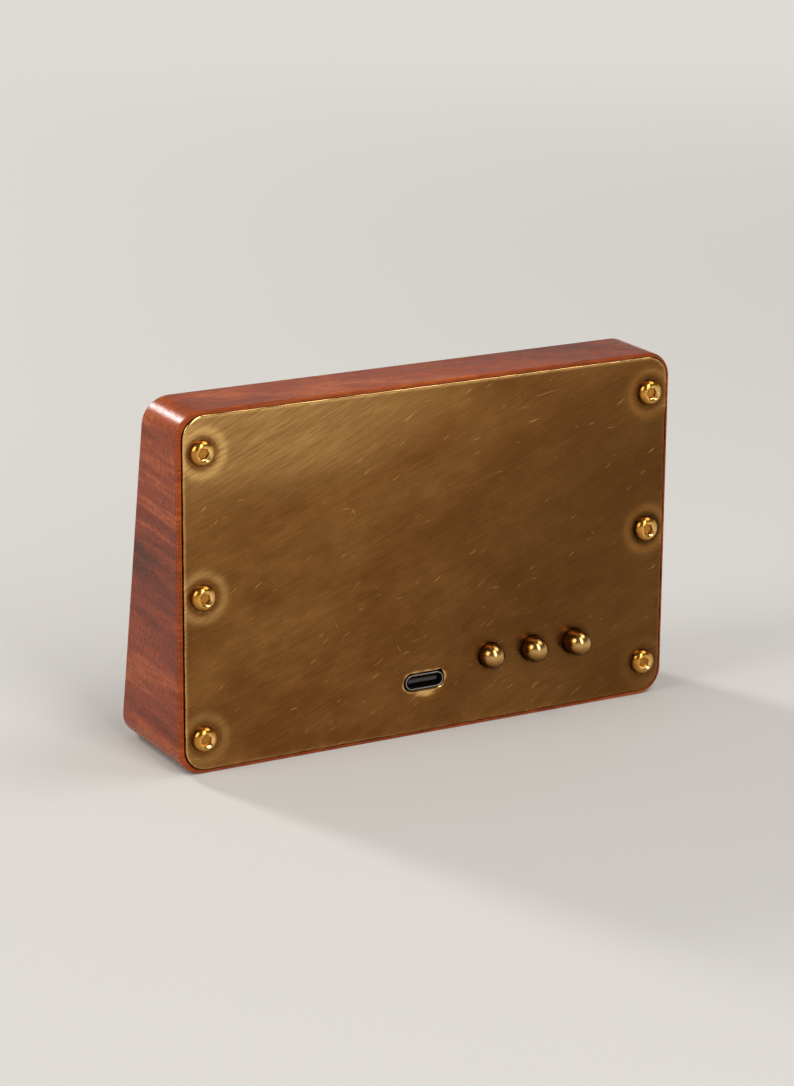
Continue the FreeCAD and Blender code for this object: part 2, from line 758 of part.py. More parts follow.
def digit_strokes(digit):
    """The strokes of one numeral, centred, with the x of its upper and lower tabs (or None).

    The tail of the 6 is the arc that leaves the bowl's side upright and ends at the tail shares,
    and the 9 is the 6 turned round.
    """
    w = (digit_width - digit_stroke) / 2
    h = (digit_height - digit_stroke) / 2
    bowl = -h + w
    round_size = digit_width
    if digit == 0:
        return [oval_ring(digit_width, digit_height, 0)], 0, 0
    if digit == 1:
        return [straight_stroke((0, h), (0, -h))], 0, 0
    if digit == 2:
        neck = math.radians(two_neck_degrees)
        return [arc_stroke((0, -bowl), w, two_neck_degrees, two_start_degrees),
                straight_stroke((w * math.cos(neck), -bowl + w * math.sin(neck)), (-w, -h)),
                straight_stroke((-w, -h), (w, -h))], 0, 0
    if digit == 3:
        return [arc_stroke((0, h / 2), h / 2, -90, three_end_degrees),
                arc_stroke((0, -h / 2), h / 2, -three_end_degrees, 90)], 0, 0
    if digit == 4:
        stem = four_stem_share * w
        bar = -four_bar_share * h
        return [straight_stroke((stem, h), (-w, bar)), straight_stroke((-w, bar), (w, bar)),
                straight_stroke((stem, h), (stem, -h))], stem, stem
    if digit == 5:
        corner = -five_corner_share * w
        meet = bowl + w * math.sin(math.radians(five_start_degrees))
        return [straight_stroke((corner, h), (w, h)), straight_stroke((corner, h), (corner, meet)),
                arc_stroke((0, bowl), w, five_end_degrees, five_start_degrees)], 0, 0
    across = (1 + tail_across_share) * w
    rise = tail_up_share * h - bowl
    tail_radius = (across ** 2 + rise ** 2) / (2 * across)
    tail_end = math.degrees(math.atan2(rise, across - tail_radius))
    if digit == 6:
        return [oval_ring(round_size, round_size, bowl),
                arc_stroke((tail_radius - w, bowl), tail_radius, tail_end, 180)], None, 0
    if digit == 7:
        foot = -seven_foot_share * w
        return [straight_stroke((-w, h), (w, h)), straight_stroke((w, h), (foot, -h))], 0, foot
    if digit == 8:
        upper = 2 * h * eight_upper_share
        lower = 2 * h - upper
        return [oval_ring(upper + digit_stroke, upper + digit_stroke, h - upper / 2),
                oval_ring(lower + digit_stroke, lower + digit_stroke, lower / 2 - h)], 0, 0
    return [oval_ring(round_size, round_size, -bowl),
            arc_stroke((w - tail_radius, -bowl), tail_radius, tail_end - 180, 0)], 0, None


def cathode(digit):
    """One numeral with the tabs that hold it to the rods, centred on the origin."""
    strokes, upper_tab, lower_tab = digit_strokes(digit)
    shapes = list(strokes)
    half = digit_stroke / 2
    tab_half_width = tab_share * digit_width / 2
    edge = rod_offset - rod_diameter / 2 - tab_gap
    for sign, tab in ((1, upper_tab), (-1, lower_tab)):
        if tab is None:
            continue
        low, high = sorted((sign * (digit_height / 2 - digit_stroke), sign * edge))
        shapes.append(box(tab - half, tab + half, 0, digit_thickness, low, high))
        low, high = sorted((sign * (edge - digit_stroke), sign * edge))
        shapes.append(box(-tab_half_width, tab_half_width, 0, digit_thickness, low, high))
    return joined(shapes)


def tube_digits(x, cathodes):
    """The stack of ten numerals and the two rods that hold it."""
    pieces = []
    for i, shape in enumerate(cathodes):
        placed = shape.copy()
        placed.translate(Vector(x, first_digit_depth + i * digit_pitch, tube_centre_up_front))
        pieces.append(placed)
    for side in (-1, 1):
        pieces.append(rod_y(rod_diameter / 2, x, tube_centre_up_front + side * rod_offset,
                            first_digit_depth - digit_thickness, rod_end_depth))
    return pieces


def tube_bezel(x):
    """The brass ring that lines one window."""
    z = tube_centre_up_front
    bore = 2 * bezel_clearance
    sleeve = bore + 2 * bezel_sleeve_wall
    flange = sleeve + 2 * bezel_flange
    ring = obround(tube_width + sleeve, tube_face_height + sleeve, x, z, 0, bezel_sleeve_length)
    rim = obround(tube_width + flange, tube_face_height + flange, x, z, -bezel_flange_thickness, 0)
    front = [e for e in rim.Edges if abs(e.BoundBox.YMax + bezel_flange_thickness) < 1e-6]
    rim = rim.makeChamfer(bezel_chamfer, front)
    hole = obround(tube_width + bore, tube_face_height + bore, x, z,
                   -bezel_flange_thickness - past, bezel_sleeve_length + past)
    return joined([ring, rim]).cut(hole)


# ---------------------------------------------------------------- colon
def lamp_glass(up):
    """The bulb of one colon lamp, a thin domed tube."""
    radius = lamp_diameter / 2
    inner = radius - lamp_glass_wall
    back = lamp_length - lamp_proud
    outer = rod_y(radius, 0, up, -lamp_proud + radius, back)
    outer = joined([outer, Part.makeSphere(radius, Vector(0, -lamp_proud + radius, up))])
    hollow = joined([rod_y(inner, 0, up, -lamp_proud + radius, back + past),
                     Part.makeSphere(inner, Vector(0, -lamp_proud + radius, up))])
    return outer.cut(hollow)


def lamp_electrodes(up):
    """The two rods of one colon lamp, which run on through the display board as leads."""
    start = lamp_length - lamp_proud - electrode_length
    return [rod_y(electrode_diameter / 2, side * electrode_spacing / 2, up, start, display_back)
            for side in (-1, 1)]


def lamp_seal(up):
    """The glass bead that closes the bulb round its leads."""
    back = lamp_length - lamp_proud
    bead = rod_y(lamp_diameter / 2 - lamp_glass_wall - foot_gap, 0, up, back - lamp_seal_thickness, back)
    return bead.cut([rod_y(electrode_diameter / 2 + pin_gap, side * electrode_spacing / 2, up,
                           back - lamp_seal_thickness - past, back + past) for side in (-1, 1)])


def colon_eyelet(up):
    """The brass eyelet round one lamp."""
    outer = eyelet_outer / 2
    body = joined([rod_y(outer, 0, up, 0, eyelet_length),
                   rod_y(outer + eyelet_flange, 0, up, -eyelet_flange_thickness, 0)])
    return body.cut(rod_y(lamp_diameter / 2 + lamp_clearance, 0, up,
                          -eyelet_flange_thickness - past, eyelet_length + past))


# ---------------------------------------------------------------- inlet
def usb_shell():
    """The pressed steel shell of the inlet."""
    outer = obround(usb_width, usb_height, usb_x, usb_z, usb_inner_y, usb_mouth_y)
    wall = 2 * usb_shell_wall
    return outer.cut(obround(usb_width - wall, usb_height - wall, usb_x, usb_z,
                             usb_inner_y - past, usb_mouth_y + past))


def usb_insulator():
    """The black block at the shell's inner end, with the tongue that stands out of it."""
    inset = 2 * (usb_shell_wall + usb_fit)
    block = obround(usb_width - inset, usb_height - inset, usb_x, usb_z,
                    usb_inner_y, usb_inner_y + usb_block_length)
    half_width = usb_tongue_width / 2
    half_height = usb_tongue_thickness / 2
    tongue = box(usb_x - half_width, usb_x + half_width, usb_inner_y + usb_block_length,
                 usb_mouth_y - usb_tongue_setback, usb_z - half_height, usb_z + half_height)
    return joined([block, tongue])


def usb_contacts():
    """The contacts on both faces of the tongue."""
    pieces = []
    front = usb_mouth_y - usb_tongue_setback - usb_contact_setback
    for side in (-1, 1):
        face = usb_z + side * usb_tongue_thickness / 2
        low, high = sorted((face, face + side * usb_contact_height))
        for i in range(usb_contact_count):
            x = usb_x + (i - (usb_contact_count - 1) / 2) * usb_contact_pitch
            pieces.append(box(x - usb_contact_width / 2, x + usb_contact_width / 2,
                              front - usb_contact_length, front, low, high))
    return pieces


# ---------------------------------------------------------------- buttons and switches
def bracket_leg_back():
    """Y of the rear of a switch bracket's legs."""
    return switch_front_y - bracket_leg_depth


def switch_body(x):
    """The black switch housing, standing on the control board."""
    half = switch_width / 2
    body = box(x - half, x + half, switch_back_y, switch_front_y,
               button_z - switch_height / 2, button_z + switch_height / 2)
    foot = box(x - switch_foot_width / 2, x + switch_foot_width / 2, switch_back_y, switch_front_y,
               control_top, button_z - switch_height / 2)
    return joined([body, foot]).cut([
        rod_y(stem_diameter / 2 + stem_gap, x, button_z, chamber_front_y - past, switch_front_y + past),
        rod_y(chamber_diameter / 2, x, button_z, chamber_back_y, chamber_front_y)])


def switch_bracket(x):
    """The folded steel bracket: a leg on each side of the switch, joined over its top."""
    half = switch_width / 2
    back = bracket_leg_back()
    top = button_z + switch_height / 2
    legs = [box(x + side * (half + bracket_thickness / 2) - bracket_thickness / 2,
                x + side * (half + bracket_thickness / 2) + bracket_thickness / 2,
                back, switch_front_y, control_bottom - bracket_drop + board_thickness / 2,
                top + bracket_thickness) for side in (-1, 1)]
    bridge = box(x - half - bracket_thickness, x + half + bracket_thickness, back, switch_front_y,
                 top, top + bracket_thickness)
    return joined(legs + [bridge])


def switch_stem(x):
    """The moving stem, with the collar that keeps it in the housing."""
    return joined([rod_y(stem_diameter / 2, x, button_z, chamber_front_y, switch_front_y + stem_length),
                   rod_y(collar_diameter / 2, x, button_z, collar_back_y, chamber_front_y)])


def switch_dome(x):
    """The snap-action dome that returns the stem, lying on the chamber's floor."""
    apex = collar_back_y - button_travel - dome_spring_gap - chamber_back_y
    rim = chamber_diameter / 2 - dome_spring_rim_gap
    flat = dome_spring_flat
    t = dome_spring_thickness
    profile = [(0, apex - t), (flat, apex - t), (rim - t, 0), (rim, 0), (rim, t), (flat, apex), (0, apex)]
    return turned(profile, Vector(x, chamber_back_y, button_z), Vector(0, 1, 0))


def button_cap(x, rise):
    """A round-nosed brass cap with a blind bore for the stem."""
    radius = button_diameter / 2
    shoulder = back_y + rise
    rear = switch_front_y + cap_switch_gap
    body = joined([rod_y(radius, x, button_z, rear, shoulder),
                   Part.makeSphere(radius, Vector(x, shoulder, button_z))])
    return body.cut(rod_y(stem_diameter / 2 + cap_fit, x, button_z, rear - past,
                          switch_front_y + stem_length))


# ---------------------------------------------------------------- link and board parts
def link_pin(x):
    """One bent pin between the boards."""
    half = link_pin_size / 2
    y_up = link_line_y()
    start_y, start_z = leant_point(display_front - link_stub, link_pin_up)
    bend_z = leant_point(display_back + link_bend_gap + link_pin_size, link_pin_up)[1]
    rise = half / lean_cos
    profile = [(start_y, start_z + rise), (y_up + half, bend_z + rise - half * math.tan(lean_angle)),
               (y_up + half, control_bottom - link_stub), (y_up - half, control_bottom - link_stub),
               (y_up - half, bend_z - rise + half * math.tan(lean_angle)), (start_y, start_z - rise)]
    return prism_x(profile, x - half, x + half)


def link_strip():
    """The plastic strip that keeps the pins in line on the control board."""
    margin = link_pin_pitch / 2
    y = link_line_y()
    strip = box(link_xs[0] - margin, link_xs[-1] + margin, y - link_strip_depth / 2,
                y + link_strip_depth / 2, control_top, control_top + link_strip_height)
    half = link_pin_size / 2 + link_gap
    return strip.cut([box(x - half, x + half, y - half, y + half, control_top - past,
                          control_top + link_strip_height + past) for x in link_xs])


def chip(x, y, length, width, height, legs_per_side, pitch):
    """A moulded chip on a level surface at z = 0, with flat legs on its two long sides."""
    shapes = [box(x - length / 2, x + length / 2, y - width / 2, y + width / 2, leg_thickness, height)]
    for side in (-1, 1):
        for i in range(legs_per_side):
            leg_x = x + (i - (legs_per_side - 1) / 2) * pitch
            near, far = sorted((y + side * (width / 2 - leg_root), y + side * (width / 2 + leg_length)))
            shapes.append(box(leg_x - leg_width / 2, leg_x + leg_width / 2, near, far,
                              0, 2 * leg_thickness))
    return joined(shapes)


def on_control_board(shape):
    """Raises a level part on to the control board."""
    raised = shape.copy()
    raised.translate(Vector(0, 0, control_top))
    return raised


def front_row_y(depth):
    """Centre of a part that stands at the front edge of the control board."""
    return control_front_y + front_part_gap + depth / 2


def inductor():
    """The shielded inductor of the high-voltage supply."""
    half = inductor_size / 2
    y = front_row_y(inductor_size)
    body = box(inductor_x - half, inductor_x + half, y - half, y + half, 0, inductor_height)
    upright = [e for e in body.Edges if e.BoundBox.ZLength > inductor_height / 2]
    return on_control_board(body.makeChamfer(inductor_chamfer, upright))


def capacitor():
    """The high-voltage capacitor, standing."""
    y = control_back_y - back_part_gap - capacitor_diameter / 2
    can = rod_z(capacitor_diameter / 2, capacitor_x, y, 0, capacitor_height)
    top = max(can.Edges, key=lambda edge: edge.CenterOfMass.z)
    return on_control_board(can.makeFillet(capacitor_round, [top]))


def transistor():
    """The switching transistor, with its metal tab at the back."""
    y = front_row_y(transistor_depth)
    front = y - transistor_depth / 2
    back = y + transistor_depth / 2
    body = box(transistor_x - transistor_width / 2, transistor_x + transistor_width / 2,
               front + transistor_leg_length, back - transistor_tab_length, 0, transistor_height)
    tab = box(transistor_x - transistor_tab_width / 2, transistor_x + transistor_tab_width / 2,
              back - transistor_tab_length, back, 0, leg_width)
    legs = [box(transistor_x + side * transistor_leg_offset - leg_width,
                transistor_x + side * transistor_leg_offset + leg_width,
                front, front + transistor_leg_length, 0, leg_width)
            for side in (-1, 1)]
    return on_control_board(joined([body, tab] + legs))


def processor():
    """The microcontroller."""
    width = processor_size
    return on_control_board(chip(processor_x, front_row_y(width + 2 * leg_length), width, width,
                                 processor_height, processor_legs, width / processor_legs))


def clock_chip():
    """The timekeeping chip."""
    return on_control_board(chip(clock_chip_x, front_row_y(clock_chip_width + 2 * leg_length),
                                 clock_chip_length, clock_chip_width, chip_height, clock_chip_legs,
                                 clock_chip_leg_pitch))


def crystal():
    """The watch crystal, lying on the board."""
    radius = crystal_diameter / 2
    y = front_row_y(crystal_length)
    return rod_y(radius, crystal_x, control_top + radius, y - crystal_length / 2, y + crystal_length / 2)


def driver_chip(x):
    """One cathode driver, on the back of the display board inside its tube's pins."""
    part = chip(0, 0, driver_length, driver_width, chip_height, driver_legs, driver_leg_pitch)
    part.rotate(Vector(0, 0, 0), Vector(0, 1, 0), 90)
    part.rotate(Vector(0, 0, 0), Vector(0, 0, 1), 90)
    part.translate(Vector(x, display_back, tube_centre_up_front))
    return part


def cell_holder():
    """The tray of the backup cell, on the back of the display board between the middle tubes."""
    half = cell_diameter / 2 + holder_fit + holder_wall
    z = tube_centre_up_front
    depth = holder_floor + cell_thickness
    tray = box(-half, half, display_back, display_back + depth, z - half, z + half)
    return tray.cut(rod_y(cell_diameter / 2 + holder_fit, 0, z, display_back + holder_floor,
                          display_back + depth + past))


def cell():
    """The backup cell."""
    y = display_back + holder_floor
    return rod_y(cell_diameter / 2, 0, tube_centre_up_front, y, y + cell_thickness)


def resistor_lead_x():
    """Half the spacing of a resistor's two leads."""
    return resistor_length / 2 + resistor_lead_reach


def resistor_up():
    """Distance up the front of the row of anode resistors."""
    return tube_centre_up_front + pin_ring_half_height + resistor_rise


def anode_resistor(x):
    """One anode resistor, lying on the back of the display board, its leads bent down through it."""
    radius = resistor_diameter / 2
    lead = resistor_lead_diameter / 2
    up = resistor_up()
    depth = display_back + radius
    reach = resistor_lead_x()
    along = Vector(1, 0, 0)
    shapes = [Part.makeCylinder(radius, resistor_length, Vector(x - resistor_length / 2, depth, up), along),
              Part.makeCylinder(lead, 2 * reach, Vector(x - reach, depth, up), along)]
    for side in (-1, 1):
        shapes.append(rod_y(lead, x + side * reach, up, display_front, depth))
        shapes.append(Part.makeSphere(lead, Vector(x + side * reach, depth, up)))
    return joined(shapes)


# ---------------------------------------------------------------- build and export
def all_nodes():
    """Every node's name and its list of solids."""
    nodes = {"wooden_case": [wooden_case()], "back_plate": [back_plate()]}
    places = [(x, z) for x in screw_xs for z in screw_zs]
    nodes["plate_screws"] = [plate_screw(x, z) for x, z in places]
    nodes["threaded_inserts"] = [threaded_insert(x, z) for x, z in places]

    cathodes = [cathode(digit) for digit in range(digit_count)]
    for i, x in enumerate(tube_xs, start=1):
        nodes[f"tube_glass_{i}"] = [lean(tube_glass(x))]
        nodes[f"tube_foot_{i}"] = [lean(tube_foot(x))]
        nodes[f"tube_anode_{i}"] = [lean(piece) for piece in tube_anode(x)]
        nodes[f"tube_digits_{i}"] = [lean(piece) for piece in tube_digits(x, cathodes)]
        nodes[f"tube_bezel_{i}"] = [lean(tube_bezel(x))]
    nodes["tube_pins"] = [lean(pin) for x in tube_xs for pin in tube_pins(x)]
    nodes["tube_sockets"] = [lean(tube_socket(x)) for x in tube_xs]

    nodes["colon_lamp_glass"] = [lean(lamp_glass(up)) for up in colon_ups()]
    nodes["colon_lamp_seals"] = [lean(lamp_seal(up)) for up in colon_ups()]
    nodes["colon_electrodes"] = [lean(rod) for up in colon_ups() for rod in lamp_electrodes(up)]
    nodes["colon_eyelets"] = [lean(colon_eyelet(up)) for up in colon_ups()]

    nodes["display_board"] = [lean(display_board())]
    inward = Vector(0, 1, 0)
    front_pillar = display_front - front_wall
    nodes["display_pillars"] = [
        lean(pillar(Vector(x, front_wall, up), inward, front_pillar, front_stud_length))
        for x, up in display_fixings()]
    nodes["display_screws"] = [lean(board_screw(Vector(x, display_back, up), inward, front_pillar))
                               for x, up in display_fixings()]
    nodes["driver_chips"] = [lean(driver_chip(x)) for x in tube_xs]
    nodes["anode_resistors"] = [lean(anode_resistor(x)) for x in tube_xs]
    nodes["cell_holder"] = [lean(cell_holder())]
    nodes["backup_cell"] = [lean(cell())]

    nodes["control_board"] = [control_board()]
    upward = Vector(0, 0, 1)
    nodes["control_pillars"] = [
        pillar(Vector(x, y, floor_wall), upward, control_pillar_height, floor_stud_length)
        for x, y in control_fixings()]
    nodes["control_screws"] = [
        board_screw(Vector(x, y, control_top), upward, control_pillar_height)
        for x, y in control_fixings()]
    nodes["link_pins"] = [link_pin(x) for x in link_xs]
    nodes["link_strip"] = [link_strip()]
    nodes["supply_inductor"] = [inductor()]
    nodes["supply_capacitor"] = [capacitor()]
    nodes["supply_transistor"] = [transistor()]
    nodes["processor"] = [processor()]
    nodes["clock_chip"] = [clock_chip()]
    nodes["clock_crystal"] = [crystal()]

    nodes["usb_shell"] = [usb_shell()]
    nodes["usb_insulator"] = [usb_insulator()]
    nodes["usb_contacts"] = usb_contacts()

    for i, (x, rise) in enumerate(zip(button_xs, button_rises), start=1):
        nodes[f"button_cap_{i}"] = [button_cap(x, rise)]
        nodes[f"switch_stem_{i}"] = [switch_stem(x)]
    nodes["switch_bodies"] = [switch_body(x) for x in button_xs]
    nodes["switch_brackets"] = [switch_bracket(x) for x in button_xs]
    nodes["switch_domes"] = [switch_dome(x) for x in button_xs]
    return nodes


def single_solid(shape):
    """The solid inside a shape that holds exactly one."""
    if len(shape.Solids) != 1:
        raise ValueError(f"expected one solid, found {len(shape.Solids)}")
    return shape.Solids[0]


def main():
    """Builds every node and writes it as a STEP file."""
    os.makedirs("parts", exist_ok=True)
    for name, shapes in all_nodes().items():
        try:
            solids = [single_solid(shape) for shape in shapes]
        except ValueError as problem:
            raise ValueError(f"{name}: {problem}") from problem
        shape = solids[0] if len(solids) == 1 else Part.makeCompound(solids)
        if not shape.isValid():
            raise ValueError(f"{name}: the shape isn't valid")
        shape.exportStep(f"parts/{name}.step")
        print(f"{name}: {len(solids)} solid(s), {shape.Volume:.1f} mm3")


main()
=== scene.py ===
"""Looks of a desk clock with four display tubes in a wooden case with a screwed brass back.

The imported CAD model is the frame. Pieces that are seen closely are made again here as smooth
surfaces with rounded edges, and every other CAD node keeps its mesh and gets its real finish.

Sizes are millimetres in the row frame until a mesh is made: tubes towards -Y, brass back towards
+Y, +Z up, origin in the middle of the underside. What the leaning front carries is worked out in
front coordinates (x, depth into the front, distance up it) and leant by Wedge.lean.
"""
import logging
import math
from dataclasses import dataclass, field
from enum import Enum

import bmesh
import bpy
import numpy as np
from mathutils import Matrix, Vector


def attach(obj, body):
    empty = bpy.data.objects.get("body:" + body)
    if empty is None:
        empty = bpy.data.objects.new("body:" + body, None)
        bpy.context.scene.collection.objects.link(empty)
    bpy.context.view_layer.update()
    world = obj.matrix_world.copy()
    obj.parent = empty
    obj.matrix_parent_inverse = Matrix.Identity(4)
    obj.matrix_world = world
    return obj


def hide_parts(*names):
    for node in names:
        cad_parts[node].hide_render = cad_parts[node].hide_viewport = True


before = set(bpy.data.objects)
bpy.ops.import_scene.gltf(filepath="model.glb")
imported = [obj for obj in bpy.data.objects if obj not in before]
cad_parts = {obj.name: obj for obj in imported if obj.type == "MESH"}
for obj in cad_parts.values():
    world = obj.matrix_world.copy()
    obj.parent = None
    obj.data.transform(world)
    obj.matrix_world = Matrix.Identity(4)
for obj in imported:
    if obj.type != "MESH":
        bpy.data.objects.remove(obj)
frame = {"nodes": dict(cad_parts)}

LOG = logging.getLogger("clock")
MM = 0.001
TINY = 1e-6                  # stands for a radius or a length of nothing
ALMOST = 0.999               # keeps an arc just short of the end of its flat
WELD_MM = 1e-4
WELD_SHIFT = 0.1234567       # keeps round numbers off the edges of the weld's cells
HOLD_SHARE = 0.3             # the most of a flat that a held point takes beside an arc
NOISE_LOW, NOISE_HIGH = 0.3, 0.7   # most of a noise lies between these
CLOCK = "clock"

Pair = tuple[float, float]
Triple = tuple[float, float, float]
Box = tuple[float, float, float, float]
Socket = bpy.types.NodeSocket
Tree = bpy.types.NodeTree


# ------------------------------------------------------------------ outlines, nets and skins
@dataclass(frozen=True)
class Outline:
    """A closed outline: point = core + (radius + offset) x outward, all the way round."""

    core: np.ndarray
    outward: np.ndarray
    radius: float

    @staticmethod
    def oval(core_x: float, core_z: float, radius: float, centre: Pair,
             per_quarter: int) -> "Outline":
        """An arc round each corner of a core rectangle, which may shrink to a line or a point.

        Args:
            core_x: half the core's width.
            core_z: half the core's height.
            radius: radius of the corners.
            centre: the middle, as (x, z).
            per_quarter: points on each quarter turn.

        Returns:
            The outline, anticlockwise from the +x side.
        """
        turn = (np.arange(4)[:, None] + np.linspace(0, 1, per_quarter)) * math.pi / 2
        sign = np.array([(1, 1), (-1, 1), (-1, -1), (1, -1)])[:, None, :]
        core = np.broadcast_to(sign * (core_x, core_z) + centre, (4, per_quarter, 2))
        outward = np.stack([np.cos(turn), np.sin(turn)], -1)
        return Outline(core.reshape(-1, 2), outward.reshape(-1, 2), radius)

    @staticmethod
    def axis(place: Pair, per_quarter: int) -> "Outline":
        """An outline shrunk to a point, from which a profile's offsets are radii."""
        return Outline.oval(0, 0, 0, place, per_quarter)

    @staticmethod
    def facing(opening: "Opening", points: np.ndarray) -> "Outline":
        """The hole's outline with one point for each point of a loop round it.

        Each point is pulled to the nearest one of the hole's core, and the way back to it is
        the outward direction.

        Args:
            opening: the hole.
            points: the loop round it, (n, 2).

        Returns:
            The hole's outline in the loop's order.
        """
        centre = np.array(opening.centre)
        core = centre + np.clip(points - centre, -np.array(opening.core), np.array(opening.core))
        away = points - core
        return Outline(core, away / np.linalg.norm(away, axis=1, keepdims=True), opening.radius)

    @staticmethod
    def matched(border: np.ndarray, sides: tuple[int, int], box: Box,
                radius: float, arc_nodes: int = 5, zone_nodes: int = 7) -> "Outline":
        """A rounded rectangle with one point for each node on the edge of a straight grid.

        Along each side the first nodes are spread over half a corner's arc, and after a short
        zone each node's point lies straight out from it.

        Args:
            border: the grid's edge, anticlockwise from its lowest corner, (n, 2).
            sides: cells along x and along z.
            box: the rectangle as x0, x1, z0, z1.
            radius: radius of its corners.
            arc_nodes: nodes that share half an arc.
            zone_nodes: node from which points lie straight out.

        Returns:
            The outline in the border's order.
        """
        x0, x1, z0, z1 = box
        low, high = border.min(0), border.max(0)
        along_x = (x0, x1, low[0] - x0, x1 - high[0])
        along_z = (z0, z1, low[1] - z0, z1 - high[1])
        corners = ((x0 + radius, z0 + radius), (x1 - radius, z0 + radius),
                   (x1 - radius, z1 - radius), (x0 + radius, z1 - radius))
        half_arc = math.pi * radius / 4
        cores, turns = [], []
        start = 0
        for side in range(4):
            cells = sides[side % 2]
            nodes = border[start:start + cells]
            start += cells
            first, last, before, after = along_x if side % 2 == 0 else along_z
            if side > 1:
                before, after = after, before
            straight = last - first - 2 * radius
            total = straight + 2 * half_arc
            gone = np.abs(nodes - nodes[0]).sum(1)
            length = gone[-1] + np.abs(nodes[-1] - border[start % len(border)]).sum()
            left = length - gone
            marks = [0, gone[arc_nodes], gone[zone_nodes], gone[cells - zone_nodes],
                     gone[cells - arc_nodes], length]
            reach = half_arc - radius
            run = np.interp(gone, marks, [
                0, half_arc, reach + before + gone[zone_nodes],
                total - reach - after - left[cells - zone_nodes], total - half_arc, total])
            bend = np.minimum(run, half_arc) + np.maximum(run - half_arc - straight, 0)
            turns.append((side - 1) * math.pi / 2 - math.pi / 4 + bend / radius)
            way = np.array([math.cos(side * math.pi / 2), math.sin(side * math.pi / 2)])
            cores.append(np.array(corners[side]) + np.clip(run - half_arc, 0, straight)[:, None] * way)
        turn = np.concatenate(turns)
        return Outline(np.concatenate(cores), np.stack([np.cos(turn), np.sin(turn)], -1), radius)

    def at(self, offset: float | np.ndarray) -> np.ndarray:
        """Points of the outline grown by an offset, which may be an array of offsets."""
        grown = self.radius + np.asarray(offset, float)
        return self.core + grown[..., None] * self.outward

    def swept(self, profile: np.ndarray) -> np.ndarray:
        """Carries a profile of (offset, depth) round the outline.

        Args:
            profile: (m, 2) offsets and depths.

        Returns:
            (m, n, 3) points as (x, depth, z).
        """
        return placed(self.at(profile[:, :1]), profile[:, 1, None])


@dataclass(frozen=True)
class Opening:
    """An oval hole and the block of the grid that its rings fill."""

    centre: Pair
    core: Pair
    radius: float
    block: Box

    @staticmethod
    def round(centre: Pair, radius: float, margin: float) -> "Opening":
        """A round hole in a square block.

        Args:
            centre: its middle, as (x, z).
            radius: its radius.
            margin: how far the block clears it.

        Returns:
            The opening.
        """
        x, z = centre
        reach = radius + margin
        return Opening(centre, (0, 0), radius, (x - reach, x + reach, z - reach, z + reach))


class Net:
    """A flat net of quads: a straight grid, rings down to each hole and rings to the rim."""

    def __init__(self, xs: np.ndarray, zs: np.ndarray) -> None:
        """Starts from grid lines.

        Args:
            xs: places of the upright lines.
            zs: places of the level lines.
        """
        self.xs, self.zs = xs, zs
        self.points = np.stack(np.meshgrid(xs, zs, indexing="ij"), -1).reshape(-1, 2)
        self.index = np.arange(len(self.points)).reshape(len(xs), len(zs))
        self.kept = np.ones((len(xs) - 1, len(zs) - 1), bool)
        self.rings: list[np.ndarray] = []

    @property
    def sides(self) -> tuple[int, int]:
        """Cells along x and along z."""
        return len(self.xs) - 1, len(self.zs) - 1

    def edge(self, i0: int, i1: int, j0: int, j1: int) -> np.ndarray:
        """Walks round a block of the grid, anticlockwise from its lowest corner.

        Args:
            i0: first upright line.
            i1: last upright line.
            j0: first level line.
            j1: last level line.

        Returns:
            The nodes' indices.
        """
        index = self.index
        return np.concatenate([index[i0:i1, j0], index[i1, j0:j1], index[i1:i0:-1, j1],
                               index[i0, j1:j0:-1]])

    def rim(self) -> np.ndarray:
        """Indices round the whole grid."""
        return self.edge(0, self.sides[0], 0, self.sides[1])

    def border(self) -> np.ndarray:
        """Points round the whole grid."""
        return self.points[self.rim()]

    def block(self, opening: Opening) -> tuple[int, int, int, int]:
        """Finds the lines that bound an opening's block.

        Args:
            opening: the hole in the block.

        Returns:
            First and last upright line, and first and last level line.
        """
        x0, x1, z0, z1 = opening.block
        return (*(int(np.abs(self.xs - x).argmin()) for x in (x0, x1)),
                *(int(np.abs(self.zs - z).argmin()) for z in (z0, z1)))

    def facing(self, opening: Opening) -> Outline:
        """The opening's outline, with one point for each node round its block."""
        return Outline.facing(opening, self.points[self.edge(*self.block(opening))])

    def ease(self, loop: np.ndarray, target: np.ndarray, shares: tuple[float, ...]) -> None:
        """Adds rings from a loop of nodes to a target loop: (1 - share) x loop + share x target.

        Args:
            loop: indices of the nodes.
            target: (n, 2) points that the last ring reaches.
            shares: how far each ring has come.
        """
        share = np.array(shares)[:, None, None]
        rings = (1 - share) * self.points[loop] + share * target
        fresh = np.arange(rings.size // 2).reshape(rings.shape[:2]) + len(self.points)
        self.points = np.concatenate([self.points, rings.reshape(-1, 2)])
        self.rings.append(quads_between(np.concatenate([loop[None], fresh]), True))

    def cut(self, opening: Opening, offset: float | np.ndarray, shares: tuple[float, ...]) -> Outline:
        """Takes an opening's block out and fills it with rings down to the hole.

        Args:
            opening: the hole.
            offset: where the face stops outside the hole's edge.
            shares: where the rings lie between the block and the hole.

        Returns:
            The hole's outline.
        """
        i0, i1, j0, j1 = self.block(opening)
        self.kept[i0:i1, j0:j1] = False
        outline = self.facing(opening)
        self.ease(self.edge(i0, i1, j0, j1), outline.at(offset), shares)
        return outline

    def quads(self) -> np.ndarray:
        """All faces, as (n, 4) indices."""
        cells = quads_between(self.index, False).reshape(*self.kept.shape, 4)
        return np.concatenate([cells[self.kept], *self.rings])


